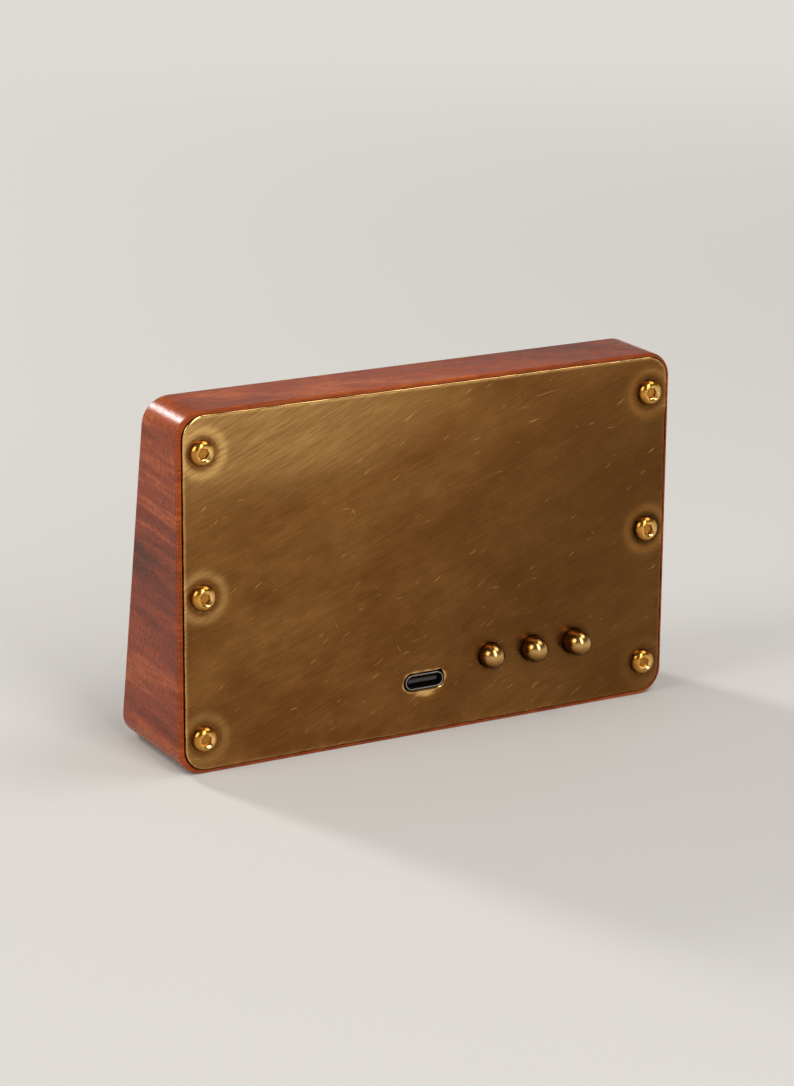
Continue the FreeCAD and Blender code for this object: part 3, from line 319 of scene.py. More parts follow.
def quads_between(rows: np.ndarray, wrapped: bool) -> np.ndarray:
    """Quads between neighbouring rows and columns of an index grid.

    Args:
        rows: (m, n) indices.
        wrapped: whether the last column joins the first.

    Returns:
        (k, 4) indices.
    """
    if wrapped:
        rows = np.concatenate([rows, rows[:, :1]], 1)
    return np.stack([rows[:-1, :-1], rows[1:, :-1], rows[1:, 1:], rows[:-1, 1:]], -1).reshape(-1, 4)


def placed(flat: np.ndarray, y: np.ndarray | float) -> np.ndarray:
    """Points (x, y, z) from flat points (x, z) and the y of each, of each row or of all."""
    return np.stack([flat[..., 0], np.broadcast_to(y, flat.shape[:-1]), flat[..., 1]], -1)


def spaced(breaks: list[float], step: float) -> np.ndarray:
    """Grid lines through given places, spread evenly between each two of them.

    Args:
        breaks: the places, in order.
        step: the most that two lines may be apart.

    Returns:
        The lines' places.
    """
    parts = [np.linspace(a, b, max(1, math.ceil((b - a) / step)) + 1)[:-1]
             for a, b in zip(breaks[:-1], breaks[1:])]
    return np.concatenate([*parts, breaks[-1:]])


def rounded(corners: list[Triple], steps: int = 5, hold: float = 0.05) -> np.ndarray:
    """A profile whose corners are arcs: centre + radius x a direction that swings between the ends.

    A held point each side of an arc keeps the flats beside it flat in the shading.

    Args:
        corners: (offset, depth, radius) of each corner; the two ends have no arc.
        steps: chords in each arc.
        hold: distance of the held points from the arc.

    Returns:
        (m, 2) offsets and depths.
    """
    given = np.array(corners, float)
    places, radii = given[:, :2], np.maximum(given[1:-1, 2], TINY)
    mid = places[1:-1]
    back, on = places[:-2] - mid, places[2:] - mid
    back_length, on_length = np.linalg.norm(back, axis=1), np.linalg.norm(on, axis=1)
    back, on = back / back_length[:, None], on / on_length[:, None]
    half = np.arccos(np.clip((back * on).sum(1), -1, 1)) / 2
    cut = radii / np.tan(half)
    split = back + on
    split /= np.maximum(np.linalg.norm(split, axis=1), TINY)[:, None]
    centre = mid + split * (radii / np.sin(half))[:, None]
    first = mid + back * cut[:, None] - centre
    last = mid + on * cut[:, None] - centre
    share = np.linspace(0, 1, steps + 1)[None, :, None]
    swing = (1 - share) * first[:, None] + share * last[:, None]
    swing *= radii[:, None, None] / np.linalg.norm(swing, axis=2, keepdims=True)
    hold_back = cut + np.minimum(hold, HOLD_SHARE * (back_length - cut))
    hold_on = cut + np.minimum(hold, HOLD_SHARE * (on_length - cut))
    arcs = np.concatenate([(mid + back * hold_back[:, None])[:, None], centre[:, None] + swing,
                           (mid + on * hold_on[:, None])[:, None]], 1)
    return np.concatenate([places[:1], arcs.reshape(-1, 2), places[-1:]])


class Skin:
    """Gathers surfaces worked out as arrays and welds them into one closed mesh."""

    def __init__(self) -> None:
        """Starts empty."""
        self.points: list[np.ndarray] = []
        self.faces: list[np.ndarray] = []
        self.marks: list[np.ndarray] = []
        self.count = 0

    def net(self, points: np.ndarray, quads: np.ndarray, wear_and_light: np.ndarray | float = 0.0,
            along: np.ndarray | float = 0.0) -> None:
        """Adds points with their quads, and two numbers for each point that a finish may read.

        Args:
            points: (n, 3) points.
            quads: (m, 4) indices of them.
            wear_and_light: how worn each point is, with the light and shade painted on it.
            along: how far along its profile each point lies.
        """
        self.points.append(points)
        self.faces.append(quads + self.count)
        self.marks.append(np.stack([np.broadcast_to(values, len(points)) for values in (along, wear_and_light)]))
        self.count += len(points)

    def sheet(self, points: np.ndarray, wear_and_light: np.ndarray | float = 0.0) -> None:
        """Adds a grid of points: rows along a profile, columns all the way round an outline.

        Args:
            points: (m, n, 3) points.
            wear_and_light: how worn they are, with the light and shade painted on them, one number for all,
                for each row or for each point.
        """
        rows, columns = points.shape[:2]
        step = np.linalg.norm(np.diff(points, axis=0), axis=2).mean(1)
        along = np.repeat(np.concatenate([[0], np.cumsum(step)]), columns)
        shape = (rows, columns) if np.size(wear_and_light) == rows * columns else (-1, 1)
        with_wear_and_light = np.broadcast_to(np.reshape(wear_and_light, shape), (rows, columns))
        index = np.arange(rows * columns).reshape(rows, columns)
        self.net(points.reshape(-1, 3), quads_between(index, True), with_wear_and_light.reshape(-1), along)

    def piece(self, name: str, finish: "Finish", sharp_degrees: float = 40) -> bpy.types.Object:
        """Welds equal points, drops empty faces and makes a smooth mesh object at the origin.

        Args:
            name: name of the piece.
            finish: what it is dressed in.
            sharp_degrees: edges that turn more than this stay sharp.

        Returns:
            The object, its faces outwards.
        """
        points = np.concatenate(self.points)
        quads = np.concatenate(self.faces)
        cells = np.round(points / WELD_MM + WELD_SHIFT).astype(np.int64)
        first, same = np.unique(cells, axis=0, return_index=True, return_inverse=True)[1:]
        quads = same.reshape(-1)[quads]
        corner = quads != np.roll(quads, 1, axis=1)
        opposite = (quads[:, 0] == quads[:, 2]) | (quads[:, 1] == quads[:, 3])
        whole = (corner.sum(1) >= 3) & ~opposite
        quads, corner = quads[whole], corner[whole]
        used, corners = np.unique(quads[corner], return_inverse=True)
        sizes = corner.sum(1)
        chosen = first[used]
        mesh = bpy.data.meshes.new(name)
        mesh.vertices.add(len(chosen))
        mesh.vertices.foreach_set("co", (points[chosen] * MM).astype(np.float32).ravel())
        mesh.loops.add(len(corners))
        mesh.loops.foreach_set("vertex_index", corners.astype(np.int32).ravel())
        mesh.polygons.add(len(sizes))
        mesh.polygons.foreach_set("loop_start", (np.cumsum(sizes) - sizes).astype(np.int32))
        mesh.update(calc_edges=True)
        for mark, values in zip(("along", "wear_and_light"), np.concatenate(self.marks, axis=1)[:, chosen]):
            layer = mesh.attributes.new(mark, "FLOAT", "POINT")
            layer.data.foreach_set("value", values.astype(np.float32))
        open_edges = face_outwards(mesh)
        if open_edges:
            LOG.warning("%s has %d open edges", name, open_edges)
        mesh.shade_smooth()
        mesh.set_sharp_from_angle(angle=math.radians(sharp_degrees))
        mesh.materials.append(finish.material())
        made = bpy.data.objects.new(name, mesh)
        bpy.context.scene.collection.objects.link(made)
        return made


def face_outwards(mesh: bpy.types.Mesh) -> int:
    """Turns a mesh's faces outwards.

    Args:
        mesh: the mesh.

    Returns:
        How many of its edges are open.
    """
    turned = bmesh.new()
    turned.from_mesh(mesh)
    bmesh.ops.recalc_face_normals(turned, faces=turned.faces)
    open_edges = sum(not edge.is_manifold for edge in turned.edges)
    turned.to_mesh(mesh)
    turned.free()
    return open_edges


def stand_for(piece: bpy.types.Object, body: str, slot: str, *nodes: str) -> bpy.types.Object:
    """Lets a piece ride on a body in place of CAD nodes.

    Args:
        piece: the piece.
        body: the body that carries it.
        slot: its finish slot; not used.
        *nodes: the CAD nodes that it stands for.

    Returns:
        The piece.
    """
    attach(piece, body)
    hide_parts(*nodes)
    return piece


# ------------------------------------------------------------------ finishes
def linear(colour: str) -> Box:
    """Turns an sRGB hex colour such as #8A4A2C into linear red, green, blue and alpha.

    Args:
        colour: six hex digits after a #.

    Returns:
        The four values.
    """
    values = np.array([int(colour[i:i + 2], 16) for i in (1, 3, 5)]) / 255
    bright = np.where(values <= 0.04045, values / 12.92, ((values + 0.055) / 1.055) ** 2.4)
    return (*bright.tolist(), 1.0)


def add(tree: Tree, kind: str, links: dict | None = None, stops: list | None = None,
        **settings: object) -> bpy.types.Node:
    """Adds a node with its settings and links.

    Args:
        tree: the node tree.
        kind: the node's type, without the leading ShaderNode.
        links: input name or number -> the output socket that feeds it. A Mix of colours takes
            its share at 0 and the colours at 6 and 7, and its output 2 gives the colour.
        stops: positions and hex colours or grey levels of a colour ramp.
        **settings: node properties, or in_NAME for the value of an input, with _ for a space.

    Returns:
        The node.
    """
    made = tree.nodes.new("ShaderNode" + kind)
    for key, value in settings.items():
        if key.startswith("in_"):
            name = key[3:].replace("_", " ")
            made.inputs[int(name) if name.isdigit() else name].default_value = value
        else:
            setattr(made, key, value)
    for place, source in (links or {}).items():
        tree.links.new(source, made.inputs[place])
    if stops:
        ramp = made.color_ramp
        while len(ramp.elements) < len(stops):
            ramp.elements.new(1)
        for element, (position, shade) in zip(ramp.elements, stops):
            element.position = position
            element.color = linear(shade) if isinstance(shade, str) else (shade, shade, shade, 1)
    return made


def seen_rays(tree: Tree) -> Socket:
    """1 for camera, glossy and transmission rays, which show the backdrop, and 0 for others.

    Args:
        tree: the node tree.

    Returns:
        The socket.
    """
    path = add(tree, "LightPath").outputs
    seen = add(tree, "Math", {0: path["Is Camera Ray"], 1: path["Is Glossy Ray"]},
               operation="MAXIMUM").outputs[0]
    return add(tree, "Math", {0: seen, 1: path["Is Transmission Ray"]}, operation="MAXIMUM").outputs[0]


class Finish:
    """A finish of one real material. Each kind paints its own node tree."""

    name: str

    def material(self) -> bpy.types.Material:
        """Gives the finish's material, which is made on first use.

        Returns:
            The material.
        """
        made = bpy.data.materials.get(self.name)
        if made is None:
            made = bpy.data.materials.new(self.name)
            made.use_nodes = True
            made.node_tree.nodes.clear()
            add(made.node_tree, "OutputMaterial", {"Surface": self.paint(made.node_tree)})
        return made

    def paint(self, tree: Tree) -> Socket:
        """Builds the nodes and gives the surface; each kind of finish has its own."""
        raise NotImplementedError

    def place(self, tree: Tree, size_mm: Triple,
              turn_degrees: Triple = (0, 0, 0)) -> Socket:
        """Object coordinates scaled so that one unit of a pattern is a real size.

        Args:
            tree: the node tree.
            size_mm: real size of one unit along each turned axis.
            turn_degrees: turn of the pattern.

        Returns:
            The vector to give a texture.
        """
        where = add(tree, "TexCoord").outputs["Object"]
        turned = add(tree, "Mapping", {"Vector": where}, vector_type="TEXTURE",
                     in_Rotation=tuple(math.radians(t) for t in turn_degrees)).outputs["Vector"]
        scale = tuple(1 / (size * MM) for size in size_mm)
        return add(tree, "Mapping", {"Vector": turned}, in_Scale=scale).outputs["Vector"]

    def noise(self, tree: Tree, size_mm: Triple,
              turn_degrees: Triple = (0, 0, 0), detail: float = 3.0,
              fineness: float = 0.5) -> Socket:
        """A noise whose blots have real sizes along three turned axes.

        Args:
            tree: the node tree.
            size_mm: size of a blot along each axis.
            turn_degrees: turn of the axes.
            detail: how many finer noises are added.
            fineness: how strong each finer noise is beside the one before.

        Returns:
            Values from 0 to 1, mostly near 0.5.
        """
        return add(tree, "TexNoise", {"Vector": self.place(tree, size_mm, turn_degrees)},
                   in_Scale=1.0, in_Detail=detail, in_Roughness=fineness).outputs[0]


class WearAndLightFinish(Finish):
    """A finish that reads its piece's "wear_and_light": above 0 it mixes in its bright colour, for rubbed
    wear and painted highlights, and below 0 its dark colour, a painted shade.
    """

    bright: str
    painted_shade: str

    def with_wear_and_light(self, tree: Tree, shade: Socket, rubbed: Socket, wear_and_light: Socket) -> tuple[Socket, Socket]:
        """Mixes in the finish's bright colour above 0, for rubbed wear and painted highlights, and
        its dark colour below 0, a painted shade.

        Args:
            tree: the node tree.
            shade: the colour so far.
            rubbed: above 0 where it takes the bright colour.
            wear_and_light: below 0 where it takes the dark colour.

        Returns:
            The colour, and how much of the dark colour is in it, from 0 to 1.
        """
        for mark, sign, colour in ((rubbed, 1.0, self.bright), (wear_and_light, -1.0, self.painted_shade)):
            share = add(tree, "Math", {0: mark}, operation="MULTIPLY", use_clamp=True, in_1=sign).outputs[0]
            shade = add(tree, "Mix", {0: share, 6: shade}, data_type="RGBA", in_7=linear(colour)).outputs[2]
        return shade, share


@dataclass(frozen=True)
class PlainFinish(Finish):
    """A metal or moulded finish with a fine grain: two close shades, and roughness and relief
    that follow the same grain. A stretch of more than 1 draws the grain out along x, as on
    brushed or rolled metal."""

    name: str
    colour: str
    second: str
    roughness: Pair
    metallic: float = 0.0
    ior: float = 1.5
    grain_mm: float = 0.4
    relief_mm: float = 0.004
    stretch: float = 1.0
    shade_range: Pair = (0.35, 0.65)   # of the grain, from one shade to the other

    def paint(self, tree: Tree) -> Socket:
        """One noise at the grain's size mixes the shades, the roughness and the relief.

        Args:
            tree: the node tree.

        Returns:
            The surface.
        """
        grain = self.noise(tree, (self.grain_mm * self.stretch, self.grain_mm, self.grain_mm))
        shade = add(tree, "ValToRGB", {"Fac": grain},
                    stops=[*zip(self.shade_range, (self.colour, self.second))]).outputs[0]
        rough = add(tree, "MapRange", {"Value": grain}, in_From_Min=NOISE_LOW, in_From_Max=NOISE_HIGH,
                    in_To_Min=self.roughness[0], in_To_Max=self.roughness[1]).outputs[0]
        relief = add(tree, "Bump", {"Height": grain}, in_Distance=self.relief_mm * MM).outputs[0]
        return add(tree, "BsdfPrincipled", {"Base Color": shade, "Roughness": rough, "Normal": relief},
                   in_Metallic=self.metallic, in_IOR=self.ior).outputs[0]


@dataclass(frozen=True)
class TurnedBrass(WearAndLightFinish):
    """Brass turned on a lathe and polished: fine rings that follow the cut, read from the
    piece's own length along its profile, and soft fingermarks that dull it in places. Where its
    "wear_and_light" is above 0 it takes the bright colour, for what a finger or key rubs and
    for painted highlights, and below 0 the dark colour, a painted shade."""

    name: str = "turned_brass_polished"
    colour: str = "#D89A43"
    dull: str = "#C08534"
    # the bright colour: rubbed wear and painted highlights; the dark colour below it: painted shade
    bright: str = "#F6D08A"
    painted_shade: str = "#6B4218"
    ring_mm: float = 0.09        # real tool marks are finer; drawn as coarse as they need to show
    ring_depth_mm: float = 0.0012
    ring_strength: float = 0.6
    smudge_mm: float = 1.6
    shade_range: Pair = (0.42, 0.72)   # of the marks, from clean to dulled in colour
    smudge_range: Pair = (0.35, 0.7)   # and in roughness
    roughness: Pair = (0.11, 0.18)
    shaded_roughness: float = 0.2     # added where the dark colour, a painted shade, is mixed in

    def paint(self, tree: Tree) -> Socket:
        """Rings: a sine of the length along the profile. Marks: noise of the smudge's size.

        Args:
            tree: the node tree.

        Returns:
            The surface.
        """
        along = add(tree, "Attribute", attribute_name="along").outputs["Fac"]
        turns = add(tree, "Math", {0: along}, operation="MULTIPLY",
                    in_1=2 * math.pi / self.ring_mm).outputs[0]
        ring = add(tree, "Math", {0: turns}, operation="SINE").outputs[0]
        marks = self.noise(tree, (self.smudge_mm,) * 3, detail=4.0)
        shade = add(tree, "ValToRGB", {"Fac": marks},
                    stops=[*zip(self.shade_range, (self.colour, self.dull))]).outputs[0]
        wear_and_light = add(tree, "Attribute", attribute_name="wear_and_light").outputs["Fac"]
        # bright colour where rubbed and for painted highlights, dark colour for painted shade
        shade, shaded_share = self.with_wear_and_light(tree, shade, wear_and_light, wear_and_light)
        low, high = self.smudge_range
        rough = add(tree, "MapRange", {"Value": marks}, in_From_Min=low, in_From_Max=high,
                    in_To_Min=self.roughness[0], in_To_Max=self.roughness[1]).outputs[0]
        rough = add(tree, "Math", {0: shaded_share, 2: rough}, operation="MULTIPLY_ADD",
                    in_1=self.shaded_roughness).outputs[0]
        relief = add(tree, "Bump", {"Height": ring}, in_Distance=self.ring_depth_mm * MM,
                     in_Strength=self.ring_strength).outputs[0]
        return add(tree, "BsdfPrincipled", {"Base Color": shade, "Roughness": rough, "Normal": relief},
                   in_Metallic=1.0).outputs[0]


@dataclass(frozen=True)
class RubbedSheetBrass(WearAndLightFinish):
    """Sheet brass rubbed down by hand with fine abrasive and left to dull: hair scratches all
    one way, which smear reflections across them, a cloudy film a few millimetres across, small
    dark spots, and a few deeper stray scratches. Its own "wear_and_light" says where it takes
    the bright colour (above 0), for rubbed brass and painted highlights, and where the dark
    colour (below 0), a painted shade."""

    name: str = "rubbed_sheet_brass"
    colour: str = "#9E6D39"
    film: str = "#8B5B2D"
    # the bright colour: rubbed brass, stray scratches and painted highlights
    bright: str = "#E6B671"
    # the dark colour: a painted shade
    painted_shade: str = "#4A3214"
    spot: str = "#5E4022"
    rub_degrees: float = 21.0    # the hair scratches climb towards -X
    through_mm: float = 40.0     # patterns hardly change through the sheet
    hair_mm: Pair = (6.0, 0.17)      # length and width; real hairs are finer
    hair_shade: float = 0.76         # how dark the hollows between hairs are
    hair_range: Pair = (0.34, 0.62)  # of the noise, from hollow to hair
    hair_depth_mm: float = 0.005
    ripple_mm: Pair = (5.5, 0.34)    # strokes of the hand that rubbed it
    ripple_turn: float = 4.0         # degrees from the hairs
    ripple_range: Pair = (0.35, 0.65)
    broken: Pair = (0.55, 1.35)      # how much of the bright colour, wear and painted highlights, the strokes let through
    cloud_mm: Pair = (24.0, 15.0)
    cloud_range: Pair = (0.38, 0.62)     # from film to clear
    mottle_mm: Pair = (3.96, 2.2)
    mottle_shade: float = 0.92
    mottle_range: Pair = (0.35, 0.6)
    spot_mm: float = 0.9
    spot_share: float = 0.5
    spot_range: Pair = (0.70, 0.76)  # from clean to spotted
    stray_mm: Pair = (4.5, 0.17)
    stray_share: float = 0.8
    strays: tuple[Pair, ...] = ((34, 0.845), (-58, 0.89), (9, 0.87))   # turn, and where it is cut off
    stray_edge: float = 0.03
    roughness: Pair = (0.21, 0.31)
    smoother_where_bright: float = 0.12    # taken from the roughness where it takes the bright colour
    smear: float = 0.6

    def streaks(self, tree: Tree, size_mm: Pair, turn: float, detail: float,
                fineness: float = 0.5) -> Socket:
        """A noise drawn out on the sheet's face at an angle.

        Args:
            tree: the node tree.
            size_mm: length and width of a streak.
            turn: degrees that it climbs.
            detail: how many finer noises are added.
            fineness: how strong each finer noise is beside the one before.

        Returns:
            Values from 0 to 1, mostly near 0.5.
        """
        length, width = size_mm
        return self.noise(tree, (length, self.through_mm, width), (0, turn, 0), detail, fineness)

    def paint(self, tree: Tree) -> Socket:
        """Stretched noise for the hairs, round noise for film and spots, sets of thin streaks
        cut off high so that few are left, and the wear broken up by the strokes.

        Args:
            tree: the node tree.

        Returns:
            The surface.
        """
        lean = self.rub_degrees
        hair = self.streaks(tree, self.hair_mm, lean, detail=5.0)
        cloud = self.streaks(tree, self.cloud_mm, lean, detail=4.0)
        mottle = self.streaks(tree, self.mottle_mm, lean, detail=3.0)
        spots = self.noise(tree, (self.spot_mm,) * 3, detail=2.0)
        shade = add(tree, "ValToRGB", {"Fac": cloud},
                    stops=[*zip(self.cloud_range, (self.film, self.colour))]).outputs[0]
        for grain, span, dark in ((hair, self.hair_range, self.hair_shade),
                                  (mottle, self.mottle_range, self.mottle_shade)):
            tone = add(tree, "ValToRGB", {"Fac": grain}, stops=[*zip(span, (dark, 1.0))]).outputs[0]
            shade = add(tree, "Mix", {6: shade, 7: tone}, data_type="RGBA", blend_type="MULTIPLY",
                        in_0=1.0).outputs[2]
        spotted = add(tree, "ValToRGB", {"Fac": spots},
                      stops=[*zip(self.spot_range, (0.0, self.spot_share))]).outputs[0]
        shade = add(tree, "Mix", {0: spotted, 6: shade}, data_type="RGBA",
                    in_7=linear(self.spot)).outputs[2]
        wear_and_light = add(tree, "Attribute", attribute_name="wear_and_light").outputs["Fac"]
        ripple = self.streaks(tree, self.ripple_mm, lean + self.ripple_turn, detail=4.0, fineness=0.6)
        low, high = self.ripple_range
        broken = add(tree, "MapRange", {"Value": ripple}, in_From_Min=low, in_From_Max=high,
                     in_To_Min=self.broken[0], in_To_Max=self.broken[1]).outputs[0]
        # the bright colour, for rubbed brass and painted highlights, broken up by the strokes
        rubbed = add(tree, "Math", {0: wear_and_light, 1: broken}, operation="MULTIPLY", use_clamp=True).outputs[0]
        shade = self.with_wear_and_light(tree, shade, rubbed, wear_and_light)[0]
        for turn, cut in self.strays:
            streak = self.streaks(tree, self.stray_mm, turn, detail=0.0)
            line = add(tree, "ValToRGB", {"Fac": streak},
                       stops=[(cut, 0.0), (cut + self.stray_edge, self.stray_share)]).outputs[0]
            shade = add(tree, "Mix", {0: line, 6: shade}, data_type="RGBA",
                        in_7=linear(self.bright)).outputs[2]
        rough = add(tree, "MapRange", {"Value": mottle}, in_From_Min=NOISE_LOW, in_From_Max=NOISE_HIGH,
                    in_To_Min=self.roughness[0], in_To_Max=self.roughness[1]).outputs[0]
        rough = add(tree, "Math", {0: rubbed, 2: rough}, operation="MULTIPLY_ADD",
                    in_1=-self.smoother_where_bright).outputs[0]
        relief = add(tree, "Bump", {"Height": hair}, in_Distance=self.hair_depth_mm * MM).outputs[0]
        angle = math.radians(lean)
        across = add(tree, "CombineXYZ", in_X=math.sin(angle), in_Z=math.cos(angle)).outputs[0]
        return add(tree, "BsdfPrincipled", {"Base Color": shade, "Roughness": rough, "Normal": relief,
                                            "Tangent": across},
                   in_Metallic=1.0, in_Anisotropic=self.smear).outputs[0]


@dataclass(frozen=True)
class OiledMahogany(WearAndLightFinish):
    """Mahogany cut from one block and rubbed with oil: grain along x, growth layers level, so
    that the ends show level bands and the top long streaks; fibres and open pores drawn out
    along x, which are dots on the ends; and rays as fine upright dashes. A low satin."""

    name: str = "oiled_mahogany"
    light: str = "#9E421C"
    middle: str = "#803014"
    dark: str = "#561F0B"
    pore: str = "#33140A"
    # the bright colour: the grain's brightest lines, flecks and rubbed edges, and painted highlights on
    # corners, arrises and lip
    bright: str = "#B95B28"
    # the dark colour: a painted shade in the rebate's corner
    painted_shade: str = "#4A2012"
    band_mm: Triple = (150.0, 70.0, 6.0)
    band_marks: tuple[float, ...] = (0.34, 0.44, 0.53, 0.56, 0.59, 0.66)   # dark, up to bright, back
    fibre_mm: Triple = (26.0, 0.8, 0.9)
    fibre_shade: float = 0.6     # how dark the hollows between fibres are
    ray_mm: Triple = (1.6, 0.3, 1.8)       # real rays are finer
    ray_shade: float = 0.5
    grain_share: float = 0.8     # of fibres and rays in the shade
    grain_range: Pair = (0.34, 0.58)       # of their noises, from hollow to clear
    fleck_mm: Triple = (3.0, 0.26, 0.42)   # fibre ends, a lighter tone with a painted glint
    fleck_share: float = 0.55
    fleck_range: Pair = (0.53, 0.70)
    pore_mm: Triple = (4.5, 0.24, 0.24)    # real pores are finer
    pore_share: float = 0.6
    pore_range: Pair = (0.60, 0.72)
    pore_depth_mm: float = 0.03
    pore_strength: float = 0.5
    tilt_degrees: Triple = (-3.0, 1.2, 0.0)   # the layers climb a little towards the back
    roughness: Pair = (0.27, 0.38)
    smoother_where_bright: float = 0.2     # taken from the roughness where the edges are made lighter
    ior: float = 1.5
    gloss: float = 0.14          # oil that has sunk in mirrors little at the surface

    def paint(self, tree: Tree) -> Socket:
        """Five noises with the sizes of bands, fibres, rays, flecks and pores: the bands choose
        the shade, with a thin bright line in each light one, fibres and rays darken it, flecks
        lighten it with their own lighter tone and a painted glint, pores are cut off high and
        sunk. Its "wear_and_light" makes the arrises lighter and smoother, partly worn by hands
        and partly a painted highlight, paints highlights on the rounded corners and the lip, and
        paints shade in the rebate's corner.

        Args:
            tree: the node tree.

        Returns:
            The surface.
        """
        bands = self.noise(tree, self.band_mm, self.tilt_degrees, detail=6.0, fineness=0.62)
        fibres = self.noise(tree, self.fibre_mm, self.tilt_degrees, detail=3.0)
        rays = self.noise(tree, self.ray_mm, detail=3.0)
        pores = self.noise(tree, self.pore_mm, detail=1.0)
        flecks = self.noise(tree, self.fleck_mm, detail=2.0)
        shades = (self.dark, self.middle, self.light, self.bright, self.light, self.middle)
        shade = add(tree, "ValToRGB", {"Fac": bands}, stops=[*zip(self.band_marks, shades)]).outputs[0]
        for grain, dark in ((fibres, self.fibre_shade), (rays, self.ray_shade)):
            tone = add(tree, "ValToRGB", {"Fac": grain},
                       stops=[*zip(self.grain_range, (dark, 1.0))]).outputs[0]
            shade = add(tree, "Mix", {6: shade, 7: tone}, data_type="RGBA", blend_type="MULTIPLY",
                        in_0=self.grain_share).outputs[2]
        # the flecks' own lighter tone with a painted glint
        fleck_tone_and_glint = add(tree, "ValToRGB", {"Fac": flecks},
                      stops=[*zip(self.fleck_range, (0.0, self.fleck_share))]).outputs[0]
        open_pore = add(tree, "ValToRGB", {"Fac": pores},
                        stops=[*zip(self.pore_range, (0.0, self.pore_share))]).outputs[0]
        for share, colour in ((fleck_tone_and_glint, self.bright), (open_pore, self.pore)):
            shade = add(tree, "Mix", {0: share, 6: shade}, data_type="RGBA",
                        in_7=linear(colour)).outputs[2]
        # lighter edges, partly worn and partly painted highlights, and painted shade in the rebate's corner
        wear_and_light = add(tree, "Attribute", attribute_name="wear_and_light").outputs["Fac"]
        shade = self.with_wear_and_light(tree, shade, wear_and_light, wear_and_light)[0]
        rough = add(tree, "MapRange", {"Value": fibres}, in_From_Min=NOISE_LOW, in_From_Max=NOISE_HIGH,
                    in_To_Min=self.roughness[0], in_To_Max=self.roughness[1]).outputs[0]
        rough = add(tree, "Math", {0: wear_and_light, 2: rough}, operation="MULTIPLY_ADD",
                    in_1=-self.smoother_where_bright).outputs[0]
        relief = add(tree, "Bump", {"Height": open_pore}, invert=True,
                     in_Distance=self.pore_depth_mm * MM, in_Strength=self.pore_strength).outputs[0]
        return add(tree, "BsdfPrincipled", {"Base Color": shade, "Roughness": rough, "Normal": relief},
                   in_IOR=self.ior, in_Specular_IOR_Level=self.gloss).outputs[0]


@dataclass(frozen=True)
class TubeGlass(Finish):
    """Clear soda-lime glass, blown and fire-polished: faint ripples and no colour of its own.
    Lamps shine through it, so that what it holds is lit."""

    name: str = "blown_tube_glass"
    colour: str = "#F3F7F5"
    ripple_mm: float = 6.0
    ripple_depth_mm: float = 0.01
    roughness: float = 0.01
    ior: float = 1.52

    def paint(self, tree: Tree) -> Socket:
        """Refracting glass, and a transparent shader in its place for shadow rays.

        Args:
            tree: the node tree.

        Returns:
            The surface.
        """
        ripple = self.noise(tree, (self.ripple_mm,) * 3, detail=1.0)
        relief = add(tree, "Bump", {"Height": ripple}, in_Distance=self.ripple_depth_mm * MM).outputs[0]
        glass = add(tree, "BsdfPrincipled", {"Normal": relief}, in_Base_Color=linear(self.colour),
                    in_Roughness=self.roughness, in_IOR=self.ior, in_Transmission_Weight=1.0).outputs[0]
        clear = add(tree, "BsdfTransparent", in_Color=linear(self.colour)).outputs[0]
        shadow = add(tree, "LightPath").outputs["Is Shadow Ray"]
        return add(tree, "MixShader", {0: shadow, 1: glass, 2: clear}).outputs[0]


@dataclass(frozen=True)
class StudioFloor(Finish):
    """Matt paper that runs into an even pale backdrop: near the clock it is lit and takes its
    shadow, and further out the camera, metal and glass see the backdrop's own tone."""

    name: str = "studio_paper"
    colour: str = "#CDCAC5"
    backdrop: str = "#DEDBD6"
    near_mm: float = 260.0
    far_mm: float = 950.0

    def paint(self, tree: Tree) -> Socket:
        """Distance from the middle mixes lit paper and even backdrop for what is seen.

        Args:
            tree: the node tree.

        Returns:
            The surface.
        """
        away = add(tree, "VectorMath", {0: self.place(tree, (1, 1, 1))}, operation="LENGTH").outputs["Value"]
        share = add(tree, "MapRange", {"Value": away}, interpolation_type="SMOOTHSTEP",
                    in_From_Min=self.near_mm, in_From_Max=self.far_mm).outputs[0]
        share = add(tree, "Math", {0: share, 1: seen_rays(tree)}, operation="MULTIPLY").outputs[0]
        paper = add(tree, "BsdfDiffuse", in_Color=linear(self.colour)).outputs[0]
        even = add(tree, "Emission", in_Color=linear(self.backdrop), in_Strength=1.0).outputs[0]
        return add(tree, "MixShader", {0: share, 1: paper, 2: even}).outputs[0]


WOOD = OiledMahogany()
SHEET_BRASS = RubbedSheetBrass()
SCREW_BRASS = TurnedBrass()
# Rubbed by fingertips: browner than the screws, with softer reflections.
# its last two colours: the bright one for rubbed wear, the dark one a painted shade
BUTTON_BRASS = TurnedBrass("turned_brass_button", "#C0904F", "#A87A3F", "#F2CC8C", "#5C3A18", smudge_mm=2.4,
                           roughness=(0.14, 0.2))
# Turned and left from the tool: paler and satin, so that the rings show as soft bands.
BEZEL_BRASS = TurnedBrass("turned_brass_satin", "#C49A55", "#A98044", roughness=(0.26, 0.36))
GLASS = TubeGlass()


